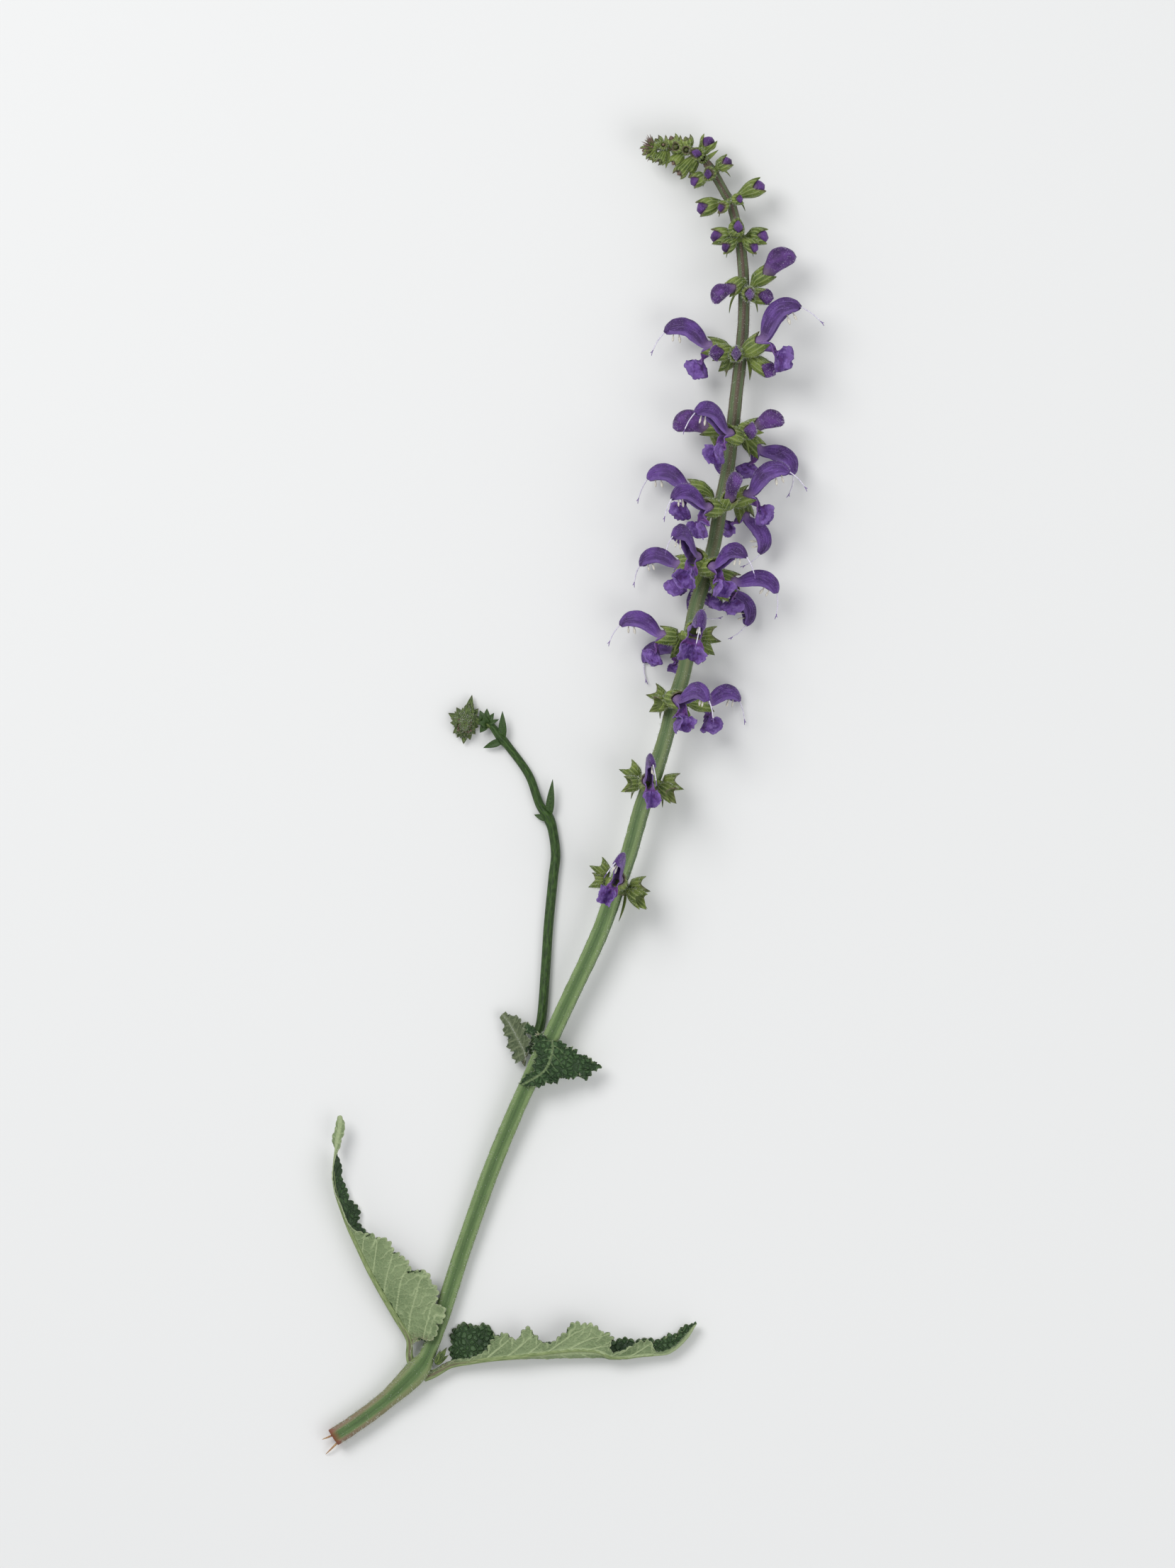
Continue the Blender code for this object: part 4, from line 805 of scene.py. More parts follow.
def buildCorollas():
    styles, hairs = startMesh(), startMesh()
    for name, flower in openOnes.items():
        seed = flowerSeed(name)
        dice = Random(seed)
        bm = startMesh()
        hood, lip = petalBend(flower, "hood", seed), petalBend(flower, "lip", seed)
        skin(bm, corolla["across"], corolla["along"], hood, closed=False)
        skin(bm, corolla["across"], corolla["along"], lambda u, v: lip(1 - u, v), mark=1.0, closed=False)
        bmesh.ops.remove_doubles(bm, verts=bm.verts, dist=0.004)
        bmesh.ops.recalc_face_normals(bm, faces=bm.faces)
        piece = finishPiece("corolla_dressed_" + name, bm, ["petal"], "corolla", "corolla_" + name)
        addWall(piece, corolla["wall"], 0)

        inside = lambda v: hood(0.0, v).lerp(hood(1.0, v), 0.5)
        scatterHairs(hairs, hood, corolla["hairs"], dice, inside, corolla["hairLean"])
        addStyle(styles, flower, dice)
    finishPiece("styles", styles, ["style", "styleTip", "anther"], "corolla")
    return hairs


def addStyle(bm, flower, dice):
    droop, side = (dice.uniform(-style[key], style[key]) for key in ("droop", "drift"))
    points = []
    for out, up in style["path"]:
        far = max(0.0, out - style["freeFrom"])
        points.append(flower.at(out, up - droop * far, side * far))
    strand(bm, points, style["radius"])
    before, end = points[-2:]
    for bias, reach in ((-1, 1.0), (1, 0.6)):
        way = ((end - before).normalized() + flower.up * (0.45 * bias)).normalized()
        points = [before.lerp(end, 0.85), end, end + way * (style["fork"] * reach)]
        strand(bm, points, style["forkRadius"], slot=1, rows=8)
    for root, tip, radius in style["anthers"]:
        sway = dice.uniform(-style["sway"], style["sway"])
        root, middle, aim = flower.at(*root), flower.at(*tip, sway), flower.at(*tip, sway * 1.6)
        way = (aim - root).normalized()
        side, up = sideAndUp(way, flower.wide)
        strand(bm, [root, middle], style["filament"], slot=2, columns=6, rows=5)

        def anther(u, v):
            reach = radius * flower.size * sin(pi * v) ** 0.6
            place = middle + way * ((v - 0.5) * 5.2 * radius * flower.size)
            return ringPoint(place, side, up, 2 * pi * u, reach, reach * 0.7)

        skin(bm, 8, 8, anther, slot=2)


bud = {
    "columns": 24,
    "rows": 22,
    # middle of each ring in side view, half of its height, half of its width
    "full": [
        (-1.47, -0.85, 1.25, 1.25), (0.6, 0.35, 2.1, 2), (2.5, 2.6, 2.4, 2), (4.4, 4.8, 3.3, 2.3),
        (6.8, 5.9, 3.1, 2.2), (9.2, 5.9, 2, 1.5), (10.5, 5.5, 0, 0),
    ],
    "young": [
        (-1.47, -0.85, 1.25, 1.25), (0.6, 0.35, 2.3, 1.8), (2.1, 1.5, 2.7, 1.6), (3.6, 2.4, 1.9, 1.1),
        (4.8, 3, 0, 0),
    ],
    "tip": [
        (-0.9, -0.5, 1, 0.8), (0.5, 0.3, 1.7, 1.3), (1.5, 0.8, 1.95, 1.45), (2.3, 1.2, 1.3, 1),
        (2.9, 1.5, 0, 0),
    ],
    "edge": {"full": 1.0, "young": 1.4, "tip": 1.3},  # above 1 for a lozenge
    "lean": (0.85, 0.53),
    "leanShare": 0.55,
    "ridge": 0.05,
    "uneven": 0.12,
    "hairs": (0.0, 1.0, 0.3, 0.95, 170, 0.7, 0.08),
}


def budBend(flower, form, seed):
    track, edge = Track(bud[form]), bud["edge"][form]

    def bend(u, v):
        if v == 0.0:
            return flower.at(*bud[form][0][:2])
        out, up, height, width = track.at(v)
        near, far = track.at(v - 0.02), track.at(v + 0.02)
        way = Vector((far[0] - near[0], far[1] - near[1])).normalized()
        way = way.lerp(Vector(bud["lean"]), bud["leanShare"]).normalized()
        angle = 2 * pi * u
        height, width = (max(part, 0.0) if v < 1 else 0.0 for part in (height, width))
        ridge = 1 + bud["ridge"] * cos(4 * angle) * min(1.0, 3 * v)
        parts = sin(angle), cos(angle)
        rise, spread = (abs(part) ** edge * (1 if part > 0 else -1) * ridge for part in parts)
        place = flower.at(out - way.y * height * rise, up + way.x * height * rise, width * spread)
        if v < 1:
            place += noise.noise_vector(place * 0.7 + Vector((seed, 0, 0))) * (bud["uneven"] * flower.size)
        return place

    return bend


def buildBuds(hairs):
    for name, (flower, form) in closedOnes.items():
        bm, seed = startMesh(), flowerSeed(name)
        bend = budBend(flower, form, seed)
        skin(bm, bud["columns"], bud["rows"], bend)
        finishPiece("bud_dressed_" + name, bm, ["bud"], "corolla", "bud_" + name)
        scatterHairs(hairs, bend, bud["hairs"], Random(seed))
    finishPiece("petalHairs", hairs, ["petalHair"], "corolla")


buildBuds(buildCorollas())
print("corollas", len(openOnes), "and buds", len(closedOnes))


# Whorls

calyxForm = {
    "open": 1.12,
    "closed": 0.96,
    "columns": 36,
    "rows": 24,
    # the shares of the rows where the body and the rim are reached
    "bodyAt": 0.34,
    "rimAt": 0.78,
    "rootRadius": 0.8,
    "waistRadius": 1.1,
    "bodyRadius": 2.3,
    "mouthRadius": 2.6,
    "bodyReach": 2.9,
    "youngReach": 2.4,
    "youngMouth": 2.05,
    "narrowMouth": 0.9,
    "flat": 0.8,  # of young and narrow ones
    "belly": 0.3,
    "youngBelly": 0.45,
    "depth": 0.5,
    "wall": 0.3,
    "narrowing": 0.5,
    "mouthFixed": 0.4,
    "stalkLead": 2.0,
    "waistPlace": 0.65,
    "stalkGap": 0.6,
    "rootSunk": 0.26,
    "ribs": 12,
    "rib": 0.11,
    # corners of the mouth: place round the rim, how far it reaches out and spreads
    "teeth": [(90, 2.8, 0.3), (10, 0.3, 0), (-50, 3.7, 0.5), (-90, 1.1, 0), (-130, 3.7, 0.5), (-190, 0.3, 0),
              (-270, 2.8, 0.3)],
    "youngTeeth": [(90, 3, 0.5), (10, -0.7, 0.1), (-55, 3.3, 0.5), (-90, 2.2, 0.3), (-125, 3.3, 0.5),
                   (-190, -0.7, 0.1), (-270, 3, 0.5)],
    "tipTeeth": [(90, 2.9, 0.3), (10, 0.9, 0.1), (-90, 2.7, 0.3), (-190, 0.9, 0.1), (-270, 2.9, 0.3)],
    "tipReach": 2.8,
    "tipClosing": 0.75,
    "hairs": (0.0, 1.0, 0.12, 0.77, 210, 0.85, 0.09),
}


# How far the rim reaches out and spreads at this angle, with sharp teeth and round bays
def rimAt(angle, teeth):
    for (first, reach, spread), (second, nextReach, nextSpread) in zip(teeth, teeth[1:]):
        if second <= angle <= first:
            t = (first - angle) / (first - second)
            share = 1 - (1 - t) ** 1.35 if reach > nextReach else t**1.35
            return lerp(reach, nextReach, share), lerp(spread, nextSpread, share)
    return teeth[0][1:]


# From the stem round to the calyx's body: centre, side and up of each ring, radius
def calyxTrack(flower, size, reachBack):
    form = calyxForm
    place, half, share, stemWay = jointAt(flower.joint)
    body = flower.mouth - flower.axis * reachBack
    behind = body - flower.axis * form["stalkLead"]
    outward = squareTo(stemWay, behind - place).normalized()
    root = place + outward * (half + form["rootSunk"])
    waist = root.lerp(behind, form["waistPlace"])
    off = squareTo(stemWay, waist - place)
    clear = half + form["waistRadius"] * size + form["stalkGap"]
    if off.length < clear:
        waist += off.normalized() * (clear - off.length)
    middleWay = ((body - root).normalized() + flower.axis).normalized()
    rows = []
    for centre, way, radius in (
        (root, outward, form["rootRadius"]),
        (waist, middleWay, form["waistRadius"] * size),
        (body, flower.axis, form["bodyRadius"] * size),
    ):
        up = squareTo(way, flower.axisUp).normalized()
        rows.append((*centre, *up.cross(way), *up, radius))
    return Track(rows)


# Young calyces are small with a flat mouth; those of young closed flowers are only flatter
def calyxBend(flower, size, young=False, narrow=False, track=None, closing=0.0):
    form = calyxForm
    mouth = form["mouthRadius"] * (form["mouthFixed"] + (1 - form["mouthFixed"]) * size)
    mouth = form["youngMouth"] * size if young else mouth * form["narrowMouth"] if narrow else mouth
    flat = form["flat"] if young or narrow else 1.0
    bellied = form["youngBelly" if young else "belly"] * size
    teeth = form["tipTeeth" if closing else "youngTeeth" if young else "teeth"]
    track = track or calyxTrack(flower, size, form["youngReach" if young else "bodyReach"] * size)
    body, bodyAt, beyond = track.at(1.0), form["bodyAt"], form["rimAt"]

    # A ring so far ahead of the mouth
    def ring(ahead, radius, angle):
        middle = flower.mouth + flower.axis * (ahead * size)
        return ringPoint(middle, flower.wide, flower.axisUp, angle, radius * flat, radius)

    def bend(u, v):
        degrees = 90 - 360 * u
        angle = radians(degrees)
        rib = form["rib"] * (0.5 + 0.5 * cos(form["ribs"] * 2 * pi * u))
        reach, spread = rimAt(degrees, teeth)
        spread -= closing * max(reach, 0.0) * size * 0.4
        if v <= 0.0:
            return track.at(0.0).xyz
        if v >= 1.0:
            return ring(-form["depth"], 0.0, angle)
        if v < bodyAt:
            t = max((v - 0.04) / 0.30, 0.0)
            row = track.at(t)
            return ringPoint(row.xyz, Vector(row[3:6]), Vector(row[6:9]), angle, row[9] + rib * t)
        if v < beyond:
            t = (v - bodyAt) / 0.42
            start = ringPoint(body.xyz, flower.wide, flower.axisUp, angle, body[9] + rib)
            place = start.lerp(ring(reach, mouth + spread, angle), min(t, 1.0))
            belly = bellied * sin(pi * min(t, 1.0)) + rib * (1 - t) * 0.4
            return place + (flower.wide * cos(angle) + flower.axisUp * sin(angle)) * belly
        t = (v - beyond) / 0.22
        inner = ring(reach * 0.94, mouth + spread - form["wall"], angle)
        deep = ring(-form["depth"], mouth - form["wall"] - form["narrowing"], angle)
        return inner.lerp(deep, min(t * 1.2, 1.0))

    return bend


# A pointed blade: round edges, widest a third of the way along, keeled along its middle
def bladeBend(root, tip, width, thickness, hint, arch=0.0, keel=0.3):
    root, tip = Vector(root), Vector(tip)
    along = (tip - root).normalized()
    side, up = sideAndUp(along, northwards if abs(along.dot(hint)) > 0.9 else hint)

    def bend(u, v):
        share = max(sin(pi * v**0.62), 0.0) ** 0.9 if 0 < v < 1 else 0.0
        x = cos(2 * pi * u) * width / 2 * share
        y = sin(2 * pi * u) * thickness / 2 * share**0.5 + keel * abs(x) + arch * sin(pi * v)
        return root.lerp(tip, v) + side * x + up * y

    return bend


# Blades from rows of root, tip and width; each has a mark of its own
def addBlades(bm, rows, form, grid, mark, slot=0):
    for number, (root, tip, width) in enumerate(rows):
        skin(bm, *grid, bladeBend(root, tip, width, form[0], upwards, *form[1:]), number + mark, slot)


# A plump pod with ribs, drawn out to a point
def podBend(root, tip, width, ribs=4, sharp=0.75, rib=0.12):
    root, tip = Vector(root), Vector(tip)
    along = (tip - root).normalized()
    side, up = sideAndUp(along, upwards if abs(along.z) < 0.8 else northwards)

    def bend(u, v):
        angle = 2 * pi * u
        share = max(sin(pi * v**sharp), 0.0) ** 0.85 if 0 < v < 1 else 0.0
        reach = width / 2 * share * (1 + rib * cos(ribs * angle))
        return ringPoint(root.lerp(tip, v), side, up, angle, reach, reach * 0.85)

    return bend


whorl = {
    "around": 40,
    "along": 14,
    "bulge": 1.3125,
    "sunk": 0.2,
    "reach": 0.77,
    "bractSunk": 0.4,
    "bractThickness": 0.5,
    # bracts of each joint: tip from the joint, width
    "bracts": {
        3: [((9.6, -7, 1), 4.6), ((0.6, -11, -1.5), 3)], 4: [((-6.2, -5, 1), 3), ((3.6, -7.6, -1), 3)],
        5: [((5.6, -8.8, 2), 2.6), ((-4.6, -5.4, 1), 2.6)],
        6: [((4, -8.4, 0.5), 2.2), ((-5.2, -6.4, 0.8), 2.2)],
        7: [((1.4, -7.8, 0), 2.2), ((-3.6, -6.2, 3), 2.2)], 8: [((-4.4, -7.4, 2.4), 2.4)],
        9: [((5.2, -8.6, 1.6), 2.4), ((-1.2, -6, 5), 2)],
        10: [((-4.8, -7.4, 2), 2.6), ((2.6, -8.4, 2.6), 2.4)],
        11: [((-4.6, -7.2, 1), 2.2), ((4.2, -7, 1.4), 2.2)],
        12: [((-4.2, -5.8, 0.4), 1.8), ((4.2, -5.4, 0.6), 1.8)],
        13: [((-3.6, -4.8, 0.4), 1.6), ((4.6, -3, 0.6), 1.6)],
        14: [((-3.2, -4.6, 0.4), 1.6), ((5.4, -1.6, 0.6), 1.6)],
    },
}


def buildWhorl(joint, calyces, hairs):
    place, half, share, way = jointAt(joint)
    bm, dice = startMesh(), Random(joint * 11)

    def collar(u, v):
        grow = whorl["bulge"] * (0.5 + 0.5 * cos(2 * pi * v)) - whorl["sunk"]
        return stemPoint(share, 2 * pi * u, grow, whorl["reach"] * half * sin(2 * pi * v))

    skin(bm, whorl["around"], whorl["along"], collar)
    for number, (flower, size, kind) in enumerate(calyces):
        young = kind == "tip"
        bend = calyxBend(flower, size, young, kind == "young")
        skin(bm, calyxForm["columns"], calyxForm["rows"], bend, mark=number + 1.0)
        scatterHairs(hairs, bend, calyxForm["hairs"], dice, share=2 if young else 1)
        if young:
            skin(bm, 20, 16, budBend(flower, "tip", number), slot=1)
    for tip, width in whorl["bracts"][joint]:
        tip = Vector(tip)
        outward = squareTo(way, tip).normalized()
        root = place + outward * (half + whorl["bractSunk"])
        arch = dice.uniform(0.2, 0.7)
        bend = bladeBend(root, place + tip, width, whorl["bractThickness"], outward, arch, 0.25)
        skin(bm, 20, 18, bend, mark=20.0 + joint)
    finishPiece(f"whorl_{joint:02d}_dressed", bm, ["calyx", "bud"], "calyx", f"whorl_{joint:02d}")


def buildWhorls():
    calyces = {joint: [] for joint in whorl["bracts"]}
    for flower in openOnes.values():
        kind = "open" if flower.slim >= 1 else "young"
        calyces[flower.joint].append((flower, calyxForm["open"] * flower.size**0.5, kind))
    for flower, form in closedOnes.values():
        calyces[flower.joint].append((flower, calyxForm["closed"] * flower.size**0.5, form))
    for table, kind in ((spareCalyces, "open"), (youngCalyces, "tip")):
        for row in table:
            calyces[row[0]].append((flowerOn(*row), row[-1], kind))
    hairs = startMesh()
    for joint, members in calyces.items():
        buildWhorl(joint, members, hairs)
    finishPiece("calyxHairs", hairs, ["hair"], "calyx")


buildWhorls()
print("whorls")


# Spike tip

spikeTip = {
    "core": [
        (42.4, 193.8, 11.1), (40.5, 196.5, 10.95), (38.6, 198.6, 10.8), (35.2, 200, 10.6), (31, 200.6, 10.4),
        (27, 200.6, 10.2), (23.6, 200.4, 10),
    ],
    "coreRadius": (1.25, 0.9),
    # young calyces: root, tip, width
    "calyces": [
        ((39, 198, 10.9), (42.4, 203.4, 11.2), 4.4), ((38.6, 198.4, 11.2), (37.8, 198.6, 15.8), 3.8),
        ((38.4, 197.8, 10.6), (34, 192.4, 10.4), 4.8), ((37.6, 198.2, 11), (31.6, 191.4, 12.8), 4.2),
        ((38, 198.4, 10.4), (38, 198, 6.4), 3.6), ((35.2, 199.6, 10.8), (34.4, 204.6, 11.4), 4.4),
        ((34.2, 199.8, 10.6), (30, 194.6, 11.6), 4), ((33.4, 200.2, 11), (30.6, 200.8, 14.8), 3.8),
        ((33, 200, 10.2), (30.6, 199.6, 6.6), 3.4), ((31, 200, 10.6), (29.8, 204.8, 11.2), 4.4),
        ((29.6, 200.4, 10.4), (25, 195.8, 10.8), 3.6), ((27.2, 200, 10.4), (24.8, 203.8, 11.4), 3.8),
        ((25.2, 200.4, 10.2), (20.6, 199.4, 9.8), 2.8), ((25.4, 199.8, 10.6), (23.2, 196.2, 11.6), 3),
        ((28.4, 200, 10.8), (26.2, 195.2, 12.4), 3.2), ((28.2, 200.6, 10.8), (27.4, 201.6, 14), 2.8),
        ((35, 200, 11), (34.6, 199.4, 15), 3.4), ((40.2, 196.6, 11), (39.6, 197.2, 14.6), 3),
        ((25.2, 200.4, 10.4), (23.6, 200.8, 13), 2.8),
    ],
    "fullWidth": 4.4,
    "open": 2,  # the first ones, which hold a bud, while the rest are drawn together over a heart
    "heartReach": 2.2,
    "heartWidth": 0.36,  # of the calyx's width
    # bristly bracts of the very end: root, how many, length, width
    "end": ((25, 200.4, 11), 40, 4.6, 0.62),
    # narrow bracts below the calyces: root, tip, width
    "bracts": [
        ((39.8, 196, 10.9), (44.8, 199.8, 12), 1.5), ((37.8, 196.8, 10.9), (35.9, 190.6, 11.4), 1.5),
        ((33.6, 198.6, 10.6), (32.6, 191.4, 12.6), 1.8), ((29.4, 199.4, 10.4), (28.4, 193.9, 11.8), 1.4),
    ],
    "bractForm": (0.4, 0.3, 0.3),  # thickness, arch, keel
    "hairs": (0.0, 1.0, 0.1, 0.77, 90, 0.75, 0.085),
}


def buildSpikeTip():
    bm, hairs, dice = startMesh(), startMesh(), Random(31)
    strand(bm, spikeTip["core"], spikeTip["coreRadius"], slot=2, columns=16, rows=24)
    for number, (root, tip, width) in enumerate(spikeTip["calyces"]):
        root, tip, size = Vector(root), Vector(tip), width / spikeTip["fullWidth"]
        flower = tipFlower(root, tip, size)
        body = flower.mouth - flower.axis * (0.4 * size)
        frames = (*flower.axisUp.cross(flower.axis), *flower.axisUp)
        rings = ((root, 0.5), (root.lerp(body, 0.5), width * 0.36), (body, width * 0.46))
        track = Track([(*centre, *frames, radius) for centre, radius in rings])
        closing = 0.0 if number < spikeTip["open"] else calyxForm["tipClosing"]
        bend = calyxBend(flower, size, True, False, track, closing)
        skin(bm, 30, 22, bend, mark=number * 1.3)
        scatterHairs(hairs, bend, spikeTip["hairs"], dice, lambda v: root.lerp(tip, v))
        if closing:
            end = flower.mouth + flower.axis * (spikeTip["heartReach"] * size)
            heart = podBend(body, end, width * spikeTip["heartWidth"], 4, 1.2, 0.05)
            skin(bm, 12, 10, heart, number * 0.9, 0 if number % 3 else 2)
        else:
            skin(bm, 16, 12, budBend(flower, "tip", number), slot=1)
    addBlades(bm, spikeTip["bracts"], spikeTip["bractForm"], (12, 16), 0.7)
    root, count, length, width = spikeTip["end"]
    for number in range(count):
        turn = radians(180 + dice.uniform(-80, 80))
        way = Vector((cos(turn), sin(turn), dice.uniform(-0.2, 1.0))).normalized()
        tip = Vector(root) + way * (length * dice.uniform(0.7, 1.1))
        skin(bm, 8, 8, bladeBend(root, tip, width, 0.35, upwards, 0.2), number, 2 if number % 3 else 0)
    finishPiece("spikeTipDressed", bm, ["calyx", "bud", "tipBract"], "calyx", "spike_tip")
    finishPiece("spikeTipHairs", hairs, ["hair"], "calyx")


buildSpikeTip()
print("spike tip")


# Leaves

